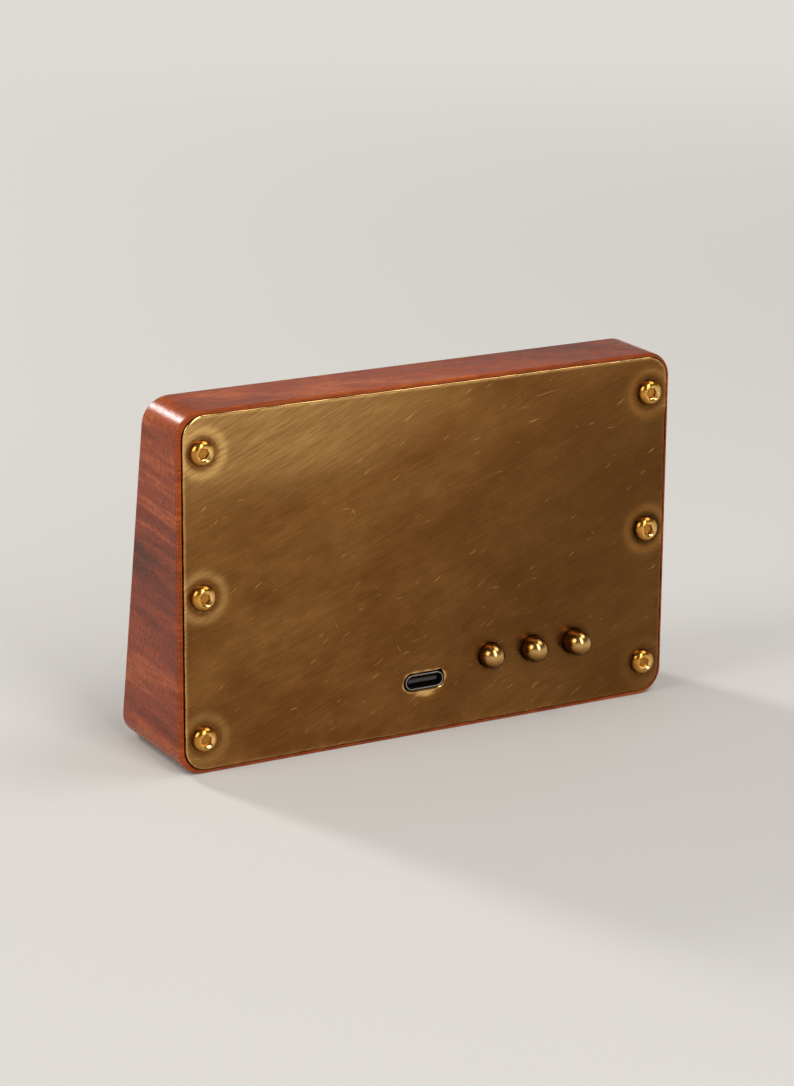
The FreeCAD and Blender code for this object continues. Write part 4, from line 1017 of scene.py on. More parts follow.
class InsideFinish(Enum):
    """Finishes of the parts that keep their CAD mesh."""

    # Pressed soda glass: grey-green, glossy, a little cloudy.
    FOOT_GLASS = PlainFinish("pressed_foot_glass", "#8FA09B", "#7E908C", (0.08, 0.16), grain_mm=1.5)
    # Drawn brass rod: yellow with a satin drawn along its length.
    BRASS = PlainFinish("drawn_brass", "#C79B4E", "#AD8440", (0.25, 0.38), 1.0, stretch=6)
    # Nickel blackened in hydrogen: nearly black, with a dull metallic sheen.
    CAN = PlainFinish("blackened_nickel", "#3A3836", "#2B2A29", (0.4, 0.52), 1.0, stretch=3)
    # Etched nickel sheet: bright and slightly warm, and crisp against the can.
    NUMERAL = PlainFinish("etched_bright_nickel", "#BDB8B0", "#A39E97", (0.2, 0.3), 1.0, stretch=3)
    # Hot-tinned copper wire: soft silver, a little uneven.
    TINNED = PlainFinish("tinned_wire", "#BDBBB5", "#9E9C97", (0.26, 0.4), 1.0)
    # Glass-filled nylon as moulded: black with an even fine matt.
    BLACK_PLASTIC = PlainFinish("moulded_black_nylon", "#17171A", "#212124", (0.42, 0.56), grain_mm=0.12)
    # Cured solder mask on glass cloth: deep green, half gloss, the cloth just showing.
    BOARD = PlainFinish("solder_mask_green", "#0E3A24", "#134530", (0.3, 0.4), grain_mm=0.5, stretch=2)
    # Bright zinc on steel: cool grey, cloudy.
    ZINC = PlainFinish("zinc_plated_steel", "#A9ABAB", "#8D9092", (0.3, 0.42), 1.0)
    # Stainless strip, deep drawn: mid grey with smeared reflections.
    STAINLESS = PlainFinish("pressed_stainless_steel", "#98938E", "#7F7A76", (0.24, 0.34), 1.0, stretch=5)
    # Moulded connector nylon: dark grey, finer and glossier than the sockets'.
    TONGUE = PlainFinish("moulded_grey_nylon", "#3A3A3E", "#303034", (0.24, 0.34), grain_mm=0.12)
    # Transfer-moulded epoxy: charcoal, dry matt.
    CHIP = PlainFinish("moulded_chip_epoxy", "#1B1B1C", "#262627", (0.5, 0.62), grain_mm=0.1)
    # Dipped lacquer: sandy tan with a soft gloss.
    RESISTOR = PlainFinish("lacquered_resistor", "#B99A6B", "#A88857", (0.32, 0.42), grain_mm=0.8)
    # Gold flash on nickel: rich yellow, mirror-like when clean.
    GOLD = PlainFinish("gold_flash_contacts", "#D8B15C", "#C39A48", (0.2, 0.3), 1.0)
    # Pressed ferrite powder: dark grey and grainy.
    FERRITE = PlainFinish("moulded_ferrite", "#2A2A2C", "#363638", (0.55, 0.7), grain_mm=0.2)
    # Shrunk vinyl sleeve: dark blue, smooth, with long soft highlights.
    SLEEVE = PlainFinish("shrunk_capacitor_sleeve", "#1A1D33", "#22263F", (0.28, 0.36), grain_mm=1.2)


# ------------------------------------------------------------------ the case and its front
@dataclass(frozen=True)
class Wedge:
    """The wooden case: one block, upright at the back and leaning at the front."""

    half_width: float = 57.0
    height: float = 75.0
    depth_bottom: float = 28.0
    depth_top: float = 15.0
    corner_radius: float = 5.5
    front_arris: float = 0.7
    back_arris: float = 0.24
    lip_arris: float = 0.07
    rebate_box: Box = (-56.55, 55.85, 0.60, 74.15)
    rebate_radius: float = 4.8
    rebate_depth: float = 1.0
    cavity_box: Box = (-52.0, 52.0, 4.5, 70.5)
    cavity_radius: float = 4.0
    front_wall: float = 5.0
    window_arris: float = 0.15
    screws: tuple[Pair, ...] = tuple((x, z) for x in (-52.3, 51.3) for z in (7.25, 36.85, 66.45))
    boss: tuple[Pair, ...] = ((0, 6.0), (4.4, 6.0), (4.4, 12.98), (2.15, 12.98), (2.15, 7.5), (0, 7.5))
    front_step: float = 1.25     # between the lines of the front's grid
    front_margin: float = 4.0    # of that grid above and below the windows
    window_rings: tuple[float, ...] = (0.5, 0.9, 1.0)
    rim_rings: tuple[float, ...] = (0.4, 0.8, 0.97, 1.0)
    arris_steps: int = 6
    flank_rows: tuple[float, ...] = (0.01, *np.linspace(0.1, 0.9, 7), 0.99)
    lip_land: float = 0.2        # of the back beside the lip
    arris_wear_and_highlight: float = 0.4      # rubbed by hands, and partly a painted highlight
    # a painted highlight on the rounded corners
    corner_highlight: float = 0.35
    corner_spread: float = 1.4
    lip_highlight_to_shade: Pair = (0.45, -0.4)    # from a painted highlight on the lip to a painted shade in the corner of the rebate

    @property
    def angle(self) -> float:
        """Lean of the front."""
        return math.atan((self.depth_bottom - self.depth_top) / self.height)

    @property
    def back(self) -> float:
        """Y of the case's back."""
        return self.depth_bottom / 2

    def lean(self, points: np.ndarray) -> np.ndarray:
        """Leans points: y = the front's foot + depth cos a + up sin a, z = up cos a - depth sin a.

        Args:
            points: (..., 3) points as (x, depth into the front, distance up it).

        Returns:
            The points as (x, y, z).
        """
        x, depth, up = np.moveaxis(points, -1, 0)
        cos, sin = math.cos(self.angle), math.sin(self.angle)
        return np.stack([x, depth * cos + up * sin - self.back, up * cos - depth * sin], -1)

    def face_y(self, z: np.ndarray, depth: float) -> np.ndarray:
        """Y of a plane at a depth behind the front: foot + depth / cos a + z tan a."""
        return depth / math.cos(self.angle) + z * math.tan(self.angle) - self.back

    def front_face(self, skin: Skin, openings: list[Opening], offset: float, edge: Box,
                   edge_radius: float, edge_offset: float, depth: float
                   ) -> tuple[Net, list[Outline], Outline]:
        """Adds the front wall's face at one depth, a net in (x, distance up the front).

        Args:
            skin: where it goes.
            openings: the windows and lamp holes.
            offset: where the face stops outside each hole's edge.
            edge: the face's outer rectangle as seen from the front.
            edge_radius: radius of its corners.
            edge_offset: offset of its outer edge.
            depth: how far behind the front it lies.

        Returns:
            The net, the holes' outlines, and the outer outline in (x, z).
        """
        x_breaks = sorted({x for o in openings for x in o.block[:2]})
        up_breaks = sorted({up for o in openings for up in o.block[2:]})
        up_breaks = [up_breaks[0] - self.front_margin, *up_breaks, up_breaks[-1] + self.front_margin]
        net = Net(spaced(x_breaks, self.front_step), spaced(up_breaks, self.front_step))
        cos, sin = math.cos(self.angle), math.sin(self.angle)
        holes = [net.cut(o, offset, self.window_rings) for o in openings]
        seen = net.border() * (1, cos) - (0, depth * sin)
        outline = Outline.matched(seen, net.sides, edge, edge_radius)
        net.ease(net.rim(), (outline.at(edge_offset) + (0, depth * sin)) / (1, cos), self.rim_rings)
        skin.net(self.lean(placed(net.points, depth)), net.quads())
        return net, holes, outline

    def build(self, openings: list[Opening]) -> bpy.types.Object:
        """Makes the case in one closed skin and puts it in the CAD case's place.

        The outer wall carries the outline from the front's arris, a quarter turn, along y to
        the back arris, another quarter turn. Level blends of matched outlines make the rim,
        the rebate's floor and the hollow's wall, and the two nets make the front wall's faces.
        A turned profile of (radius, y) makes the boss for each threaded insert.

        Args:
            openings: the holes through the front wall.

        Returns:
            The piece.
        """
        skin = Skin()
        arris, ease = self.front_arris, self.back_arris
        box = (-self.half_width, self.half_width, 0.0, self.height)
        net, holes, outer = self.front_face(skin, openings, self.window_arris, box,
                                            self.corner_radius, -arris, 0.0)
        cavity = self.front_face(skin, openings, 0.0, self.cavity_box, self.cavity_radius, 0.0,
                                 self.front_wall)[2]
        mouth = rounded([(self.window_arris, 0, 0), (0, 0, self.window_arris * ALMOST),
                         (0, self.front_wall, 0)], steps=4, hold=0.0)
        for hole in holes:
            skin.sheet(self.lean(hole.swept(mouth)))

        # on a quarter turn from face to flank: what is left to go outwards, and what is gone along y
        turn = np.linspace(0, math.pi / 2, self.arris_steps + 1)
        left, gone = 1 - np.sin(turn)[:, None], 1 - np.cos(turn)[:, None]
        front = outer.at(-arris * left)
        front = placed(front, self.face_y(front[..., 1], 0) + arris * gone)
        back = placed(outer.at(-ease * gone), self.back - ease * left)
        share = np.array(self.flank_rows)[:, None, None]
        # painted highlights on the rounded corners; on the arrises, wear with a painted highlight
        corner = self.corner_highlight * np.clip(np.abs(outer.outward).min(1) * self.corner_spread, 0, 1)
        arrised = self.arris_wear_and_highlight * np.concatenate([np.sin(2 * turn), np.zeros(len(share)), np.sin(turn)])
        skin.sheet(np.concatenate([front, (1 - share) * front[-1] + share * back[0], back]),
                   np.maximum(arrised[:, None], corner[None]))

        seen = net.border() * (1, math.cos(self.angle))
        floor_y = self.back - self.rebate_depth
        rebate = Outline.matched(seen, net.sides, self.rebate_box, self.rebate_radius)
        lip = rebate.swept(rounded([(self.lip_land, self.back, 0), (0, self.back, self.lip_arris),
                                    (0, floor_y, 0)], steps=3, hold=0.02)[1:])
        hollow = Outline.matched(seen, net.sides, self.cavity_box, self.cavity_radius)
        foot = cavity.at(np.zeros((1, 1)))
        foot = placed(foot, self.face_y(foot[..., 1], self.front_wall))
        # a painted highlight on the lip, down to a painted shade in the rebate's corner
        rebate_corner_shade = self.lip_highlight_to_shade[1]
        rubbed = np.array([self.arris_wear_and_highlight, self.arris_wear_and_highlight / 2, *np.linspace(*self.lip_highlight_to_shade, len(lip)),
                           rebate_corner_shade, 0])
        skin.sheet(np.concatenate([back[-1:], 0.5 * back[-1:] + 0.5 * lip[:1], lip,
                                   hollow.swept(np.array([[0, floor_y]])), foot]), rubbed)
        for place in self.screws:
            skin.sheet(Outline.axis(place, per_quarter=12).swept(np.array(self.boss)))
        return stand_for(skin.piece("case_block", WOOD, sharp_degrees=50), CLOCK, "wood",
                         "wooden_case")


# ------------------------------------------------------------------ the sheet and what sits in it
@dataclass(frozen=True)
class Bell:
    """A bell curve of a distance: height x exp(-((distance - middle) / reach) squared)."""

    height: float
    reach: float
    middle: float = 0.0

    def at(self, distance: np.ndarray) -> np.ndarray:
        """Its height at distances."""
        return self.height * np.exp(-((distance - self.middle) / self.reach) ** 2)


@dataclass(frozen=True)
class Patch:
    """An oval bell curve on the sheet: height x exp(-(across squared + up squared)), with both
    distances divided by their reaches."""

    height: float
    centre: Pair
    reach: Pair

    def at(self, x: np.ndarray, z: np.ndarray) -> np.ndarray:
        """Its height at places."""
        across, up = (x - self.centre[0]) / self.reach[0], (z - self.centre[1]) / self.reach[1]
        return self.height * np.exp(-(across ** 2 + up ** 2))


@dataclass(frozen=True)
class Uneven:
    """A strength that comes and goes: mean + swing x sin(rate u + phase) x sin(rate v + phase)."""

    mean: float
    swing: float
    along_u: Pair                # rate and phase
    along_v: Pair

    def at(self, u: np.ndarray, v: np.ndarray) -> np.ndarray:
        """Its strength at two coordinates."""
        (rate_u, phase_u), (rate_v, phase_v) = self.along_u, self.along_v
        return self.mean + self.swing * np.sin(rate_u * u + phase_u) * np.sin(rate_v * v + phase_v)


def rising(z: np.ndarray, middle: float, reach: float) -> np.ndarray:
    """An S curve from 0 to 1 on the way up: 1 / (1 + exp((middle - z) / reach))."""
    return 1 / (1 + np.exp((middle - z) / reach))


def wavering(run: np.ndarray, waves: tuple[Triple, ...]) -> np.ndarray:
    """A sum of sines, height x sin(rate x run + phase), with a (height, rate, phase) for each."""
    return sum(height * np.sin(rate * run + phase) for height, rate, phase in waves)


def apart(x: np.ndarray, z: np.ndarray, centres: tuple[Pair, ...]) -> np.ndarray:
    """Distance of each place from each centre, (places, centres)."""
    return np.hypot(*(at[:, None] - middle for at, middle in zip((x, z), np.array(centres).T)))


@dataclass(frozen=True)
class BackSheet:
    """The brass sheet let into the case's back, with its screw holes, button holes and slot."""

    box: Box = (-56.5, 55.5, 0.65, 74.10)
    radius: float = 4.75
    back: float = Wedge().back
    thickness: float = 1.0
    edge_round: float = 0.42
    inset: float = 1.6           # from the edge to the straight grid
    step: float = 0.8
    screws: tuple[Pair, ...] = Wedge().screws
    screw_hole: float = 1.65
    buttons: tuple[Pair, ...] = ((-14.74, 14.6), (-24.90, 14.6), (-35.06, 14.6))
    button_hole: float = 2.75
    slot_centre: Pair = (0.9, 11.43)
    slot_half: Pair = (4.87, 2.03)
    hole_round: float = 0.12
    hole_rings: tuple[float, ...] = (0.3, 0.6, 0.85, 1.0)
    rim_rings: tuple[float, ...] = (0.35, 0.7, 0.93, 1.0)
    edge_steps: int = 5
    screw_margin: float = 0.95   # of the grid's blocks round the holes
    button_margin: float = 0.85
    slot_margin: Pair = (1.03, 0.8)

    # filed by hand: waves as (height, rate, phase)
    edge_waves: tuple[Triple, ...] = ((0.024, 0.9, 0.0), (0.016, 2.3, 1.0))
    edge_lean: float = 3.0       # keeps those waves running round the corners
    hole_waves: tuple[Triple, ...] = ((0.02, 5.0, 1.0), (0.015, 11.0, 0.0))
    hole_strays: float = 0.5     # how much of them a drilled hole has
    slot_strays: float = 1.6     # and the slot
    slot_inside: float = 0.12    # filed a little short of its full size all round
    slot_notch: Bell = Bell(0.5, 0.22, math.radians(118))   # by the angle round its ends
    slot_bevel: float = 0.34     # more rounding along its lower edge

    # relief of the face
    seed: int = 11
    waves: int = 16
    wave_lengths: Pair = (4.5, 17.0)
    wave_slope: float = 0.0055
    beaten: Patch = Patch(2.2, (40.0, 62.0), (24.0, 24.0))
    screw_dip: Bell = Bell(0.13, 3.3)
    screw_rim: Bell = Bell(0.045, 0.9, 4.5)
    burr: Bell = Bell(0.13, 0.5)
    burr_waver: Uneven = Uneven(0.8, 0.3, (1.1, 0.0), (0.37, 1.0))
    slot_dip: Bell = Bell(0.09, 0.8)
    slot_sag: Bell = Bell(0.14, 1.5)

    # wear of the face, and the light and shade painted on it
    # round each screw a painted highlight halo, with a painted shade ring inside it at the head's foot
    painted_halo: Bell = Bell(0.62, 0.95, 4.7)
    painted_shade_ring: Bell = Bell(0.6, 0.45, 3.05)
    painted_halo_strengths: tuple[float, ...] = (0.35, 1.0, 0.8, 0.4, 0.7, 1.0)   # strength at each screw
    # a faint painted shade ring round each button's foot
    button_shade_ring: Bell = Bell(0.35, 0.6, 3.0)
    edge_line: Bell = Bell(1.0, 0.45)
    edge_wear_and_highlight: Pair = (0.55, 1.15)   # worn bright all round, and the top's extra, a painted highlight
    top_highlight_band: Pair = (3.0, 0.8)      # how far down the top's painted highlight goes, and how softly it ends
    # a painted reflection over the top, brightest on the +X side
    painted_glow: Bell = Bell(0.44, 44.0, 36.0)
    painted_glow_band: Pair = (59.0, 3.0)    # height at which the painted glow starts, and how softly
    # painted shade, darkest towards the -X side
    dull: Patch = Patch(0.62, (-54.0, 34.0), (52.0, 48.0))
    slot_rim: Bell = Bell(1.7, 0.28)
    slot_break: Uneven = Uneven(0.75, 0.55, (2.3, 1.1), (1.9, 0.4))
    # a painted highlight just below the slot
    spot: Patch = Patch(1.9, (0.7, 8.75), (1.7, 0.6))

    def relief(self, x: np.ndarray, z: np.ndarray) -> np.ndarray:
        """Height of the sheet's face above flat.

        A sum of sine waves, each as high as its length times one slope, stronger in a beaten
        patch; a bell-shaped dip with a ring-shaped rim round each screw; a burr along the
        sheet's edge whose height wavers; and a dip along the slot's edge.

        Args:
            x: places across.
            z: places up.

        Returns:
            Millimetres towards +Y.
        """
        draw = np.random.default_rng(self.seed)
        length = draw.uniform(*self.wave_lengths, self.waves)
        way = draw.uniform(0, math.pi, self.waves)
        phase = draw.uniform(0, 2 * math.pi, self.waves)
        run = x[:, None] * np.cos(way) + z[:, None] * np.sin(way)
        waves = self.wave_slope * length / (2 * math.pi) * np.sin(2 * math.pi * run / length + phase)
        height = waves.sum(1) * (1 + self.beaten.at(x, z))
        away = apart(x, z, self.screws)
        height += (self.screw_rim.at(away) - self.screw_dip.at(away)).sum(1)
        inside = np.maximum(self.from_edge(x, z) - self.edge_round, 0)
        height += self.burr.at(inside) * self.burr_waver.at(x + z, x - z)
        beyond = np.maximum(self.from_slot(x, z), 0)
        below = np.clip((self.slot_centre[1] - z) / self.slot_half[1], 0, 1)
        return height - self.slot_dip.at(beyond) - below * self.slot_sag.at(beyond)

    def wear_and_light(self, x: np.ndarray, z: np.ndarray) -> np.ndarray:
        """How the sheet is worn and where light and shade are painted on it: above 0 it takes the
        bright colour, below 0 the dark one, a painted shade.

        Bell curves: a painted highlight halo round each screw with a painted shade ring inside
        it, a faint painted shade ring round each button, a bright line along the sheet's edge,
        worn all round and a painted highlight along its top, a broken bright rim at the slot, a
        painted highlight below it, and a painted shade over the far side. A painted reflection
        brightens a band along the top, most on the +X side, and fades out downwards as an S
        curve.

        Args:
            x: places across.
            z: places up.

        Returns:
            The wear.
        """
        away = apart(x, z, self.screws)
        # painted highlight halos and painted shade rings round the screws
        painted_screw_rings = ((self.painted_halo.at(away) - self.painted_shade_ring.at(away)) * np.array(self.painted_halo_strengths)).sum(1)
        # painted shade round the buttons
        round_buttons = self.button_shade_ring.at(apart(x, z, self.buttons)).sum(1)
        # a bright edge line: wear all round, and along the top a painted highlight
        everywhere, more = self.edge_wear_and_highlight
        down, soft = self.top_highlight_band
        line = (everywhere + more * rising(z, self.box[3] - down, soft)) \
            * self.edge_line.at(np.maximum(self.from_edge(x, z), 0))
        # painted reflection along the top
        painted_glow = self.painted_glow.at(x) * rising(z, *self.painted_glow_band)
        slot = self.slot_rim.at(np.maximum(self.from_slot(x, z), 0)) * self.slot_break.at(x, z)
        return (painted_screw_rings - round_buttons + line + painted_glow - self.dull.at(x, z) + slot
                + self.spot.at(x, z))

    def from_edge(self, x: np.ndarray, z: np.ndarray) -> np.ndarray:
        """Distance inside the sheet's edge, a rectangle with rounded corners.

        Args:
            x: places across.
            z: places up.

        Returns:
            The distances, below 0 outside.
        """
        x0, x1, z0, z1 = self.box
        out_x = np.abs(x - (x0 + x1) / 2) - (x1 - x0) / 2 + self.radius
        out_z = np.abs(z - (z0 + z1) / 2) - (z1 - z0) / 2 + self.radius
        past = np.hypot(np.maximum(out_x, 0), np.maximum(out_z, 0))
        return self.radius - past - np.minimum(np.maximum(out_x, out_z), 0)

    def from_slot(self, x: np.ndarray, z: np.ndarray) -> np.ndarray:
        """Distance outside the slot's edge, a rectangle with half round ends.

        Args:
            x: places across.
            z: places up.

        Returns:
            The distances, below 0 inside.
        """
        half_x, half_z = self.slot_half
        along = np.maximum(np.abs(x - self.slot_centre[0]) - (half_x - half_z), 0)
        return np.hypot(along, z - self.slot_centre[1]) - half_z

    def openings(self) -> list[Opening]:
        """All holes with their blocks.

        Returns:
            The screws' holes, the buttons' and the slot.
        """
        half_x, half_z = self.slot_half
        reach_x, reach_z = half_x + self.slot_margin[0], half_z + self.slot_margin[1]
        x, z = self.slot_centre
        slot = Opening(self.slot_centre, (half_x - half_z, 0), half_z,
                       (x - reach_x, x + reach_x, z - reach_z, z + reach_z))
        return [*(Opening.round(c, self.screw_hole, self.screw_margin) for c in self.screws),
                *(Opening.round(c, self.button_hole, self.button_margin) for c in self.buttons), slot]

    def filed(self, outline: Outline, is_slot: bool) -> np.ndarray:
        """How far a hole's edge strays outwards: a slow wander, and on the slot a filed notch
        at its upper corner on the buttons' side, a bell curve of the angle.

        Args:
            outline: the hole's outline.
            is_slot: whether it is the inlet's slot.

        Returns:
            Millimetres at each point of the outline.
        """
        turn = np.arctan2(outline.outward[:, 1], outline.outward[:, 0])
        stray = wavering(turn, self.hole_waves)
        if not is_slot:
            return stray * self.hole_strays
        return stray * self.slot_strays - self.slot_inside + self.slot_notch.at(turn)

    def edge(self, outline: Outline) -> np.ndarray:
        """How far the sheet's own edge strays: waves of the place along it."""
        return wavering(outline.core.sum(1) + outline.outward[:, 0] * self.edge_lean, self.edge_waves)

    def lines(self, low: float, high: float, breaks: set[float]) -> np.ndarray:
        """Grid lines across the sheet from inset to inset, through the edges of the blocks."""
        return spaced(sorted({low + self.inset, high - self.inset} | breaks), self.step)

    def build(self) -> bpy.types.Object:
        """Makes the sheet: a face with relief, a flat back, and rounded edges between them.

        Returns:
            The piece.
        """
        skin = Skin()
        openings = self.openings()
        x0, x1, z0, z1 = self.box
        xs = self.lines(x0, x1, {x for o in openings for x in o.block[:2]})
        zs = self.lines(z0, z1, {z for o in openings for z in o.block[2:]})
        for is_face in (True, False):
            net = Net(xs, zs)
            holes = []
            for opening in openings:
                seen = net.facing(opening)
                is_slot = opening is openings[-1]
                stray = self.filed(seen, is_slot)
                extra = self.slot_bevel * np.clip(-seen.outward[:, 1], 0, 1) if is_slot else 0
                bevel = self.hole_round + extra
                offset = stray + (bevel if is_face else 0)
                holes.append((net.cut(opening, offset, self.hole_rings), stray, bevel))
            outline = Outline.matched(net.border(), net.sides, self.box, self.radius)
            stray = self.edge(outline)
            net.ease(net.rim(), outline.at(stray - (self.edge_round if is_face else 0)), self.rim_rings)
            x, z = net.points.T
            y = self.back + self.relief(x, z) if is_face else self.back - self.thickness
            skin.net(placed(net.points, y), net.quads(), self.wear_and_light(x, z))
            if is_face:
                for hole, hole_stray, bevel in holes:
                    self.wall(skin, hole, hole_stray, bevel, 1)
                self.wall(skin, outline, stray, self.edge_round, -1)
        return stand_for(skin.piece("back_sheet", SHEET_BRASS), CLOCK, "sheet_brass", "back_plate")

    def wall(self, skin: Skin, outline: Outline, stray: np.ndarray, curve: float | np.ndarray,
             side: int) -> None:
        """Adds a rounded edge and the wall below it: offset and drop follow a quarter turn, and
        then the wall goes straight to the sheet's back.

        Args:
            skin: where it goes.
            outline: the edge's outline.
            stray: how far the wall strays outwards.
            curve: radius of the rounding.
            side: 1 where the face lies outside the outline, -1 where it lies inside.
        """
        turn = np.linspace(0, math.pi / 2, self.edge_steps + 1)[:, None]
        flat = outline.at(stray + side * curve * (1 - np.sin(turn)))
        face = self.back + self.relief(*flat[0].T)
        rows = placed(flat, face - curve * (1 - np.cos(turn)))
        foot = placed(flat[-1:], self.back - self.thickness)
        rows = np.concatenate([rows, foot])
        skin.sheet(rows, self.wear_and_light(rows[..., 0].ravel(), rows[..., 2].ravel()))


@dataclass(frozen=True)
class BackScrews:
    """Six button-head screws with a hexagon socket."""

    centres: tuple[Pair, ...] = BackSheet().screws
    back: float = BackSheet().back
    radius: float = 2.69
    shank: float = 1.45
    length: float = 6.0
    tip: float = 0.3             # chamfer of the shank's end
    sunk: float = 0.14           # the head's foot follows the dip in the sheet
    foot_bevel: float = 0.1
    rim: float = 0.25
    skirt: float = 0.08          # row of the flank below the rim
    height: float = 1.45
    shoulder_rows: int = 14
    fullness: float = 1.25       # power of the shoulder's cosine and sine, which fills it less
    land: float = 1.66           # radius of the narrow flat round the socket's mouth
    mouth: float = 1.54          # the socket's mouth is a cone
    mouth_bevel: float = 0.03
    across_flats: float = 2.0
    cone: tuple[Triple, ...] = ((0.28, 0.18, 0.4), (0.03, 0.34, 1.0))  # past the flats, down, hexagon
    walls: float = 0.4           # how far down the hexagon's walls start
    socket_depth: float = 1.0
    floor_bevel: Pair = (0.05, 0.06)   # across the floor and up the walls
    dimple: Pair = (0.2, 0.12)   # radius and depth that the drill left in the floor
    dimple_hex: float = 0.5      # how far the dimple's rim follows the hexagon
    # painted shade under the head and on its flank
    painted_under_shade: float = -0.6
    painted_flank_shade: float = -0.5
    shoulder_shade_to_highlight: Pair = (-0.7, 0.25)   # from painted shade at the rim to a painted highlight at the land
    # row by row from the mouth's rim, which keys rub, to the middle of the floor: painted highlights round
    # the mouth and down the walls, painted shade on the floor
    socket_highlight_and_shade: tuple[float, ...] = (0.7, 1.0, 1.0, 0.9, 0.6, 0.3, -0.3, -0.2, -0.2)
    around: int = 72
    painted_lower_shade: float = 0.45        # painted shade on the lower side of each head
    turns_degrees: tuple[float, ...] = (12.0, 41.0, 27.0, 5.0, 50.0, 33.0)

    def profile(self) -> np.ndarray:
        """Rows of (radius, height above the sheet, how far the outline is a hexagon, wear_and_light), the
        last being wear with painted light and shade.

        The head's shoulder runs from the rim to a narrow flat round the socket's mouth as a
        quarter of an ellipse whose cosine and sine are raised to a power. A cone leads from
        the flat into the hexagon.

        Returns:
            (m, 4) rows from the shank's tip to the middle of the socket's floor.
        """
        turn = np.linspace(0, math.pi / 2, self.shoulder_rows)
        reach = self.land + (self.radius - self.land) * np.cos(turn) ** self.fullness
        rise = self.rim + (self.height - self.rim) * np.sin(turn) ** self.fullness
        flat, top, bevel = self.across_flats / 2, self.height, self.mouth_bevel
        floor = top - self.socket_depth
        tip_y, foot_y = -self.length, -self.sunk
        shank = [(0, tip_y, 0, 0), (self.shank - self.tip, tip_y, 0, 0),
                 (self.shank, tip_y + self.tip, 0, 0), (self.shank, foot_y, 0, self.painted_under_shade)]
        head = [(self.radius - self.foot_bevel, foot_y, 0, self.painted_under_shade),
                (self.radius, foot_y + self.foot_bevel, 0, self.painted_under_shade),
                (self.radius, self.rim - self.skirt, 0, self.painted_flank_shade),
                *zip(reach, rise, np.zeros_like(reach), np.linspace(*self.shoulder_shade_to_highlight, len(reach)))]
        (first_out, first_down, first_hex), (last_out, last_down, last_hex) = self.cone
        (across, up), (dimple, deep) = self.floor_bevel, self.dimple
        socket = [(self.mouth + bevel, top, 0), (self.mouth - bevel, top - bevel, 0),
                  (flat + first_out, top - first_down, first_hex),
                  (flat + last_out, top - last_down, last_hex),
                  (flat, top - self.walls, 1), (flat, floor + up, 1), (flat - across, floor, 1),
                  (dimple, floor - deep, self.dimple_hex), (0, floor - deep, 0)]
        socket = [(*row, wear_and_light) for row, wear_and_light in zip(socket, self.socket_highlight_and_shade)]
        return np.array(shank + head + socket)

    def build(self) -> bpy.types.Object:
        """Turns the profile about each screw's axis; where it is a hexagon, the radius is
        divided by the cosine of the angle from the nearest flat's middle.

        Returns:
            The piece.
        """
        skin = Skin()
        radius, height, hexed, wear_and_light = self.profile().T[..., None]
        turn = np.linspace(0, 2 * math.pi, self.around, endpoint=False)
        sixth = math.pi / 3
        for (x, z), start in zip(self.centres, self.turns_degrees):
            from_flat = np.mod(turn - math.radians(start) + sixth / 2, sixth) - sixth / 2
            reach = radius * (1 - hexed + hexed / np.cos(from_flat))
            across, up = reach * np.cos(turn), reach * np.sin(turn)
            # painted shade, darkest at the bottom of each head
            under = self.painted_lower_shade * np.clip(-up / self.radius, 0, 1)
            skin.sheet(placed(np.stack([x + across, z + up], -1), self.back + height),
                       (wear_and_light - under).ravel())
        return stand_for(skin.piece("sheet_screws", SCREW_BRASS, sharp_degrees=32), CLOCK,
                         "turned_brass", "plate_screws")


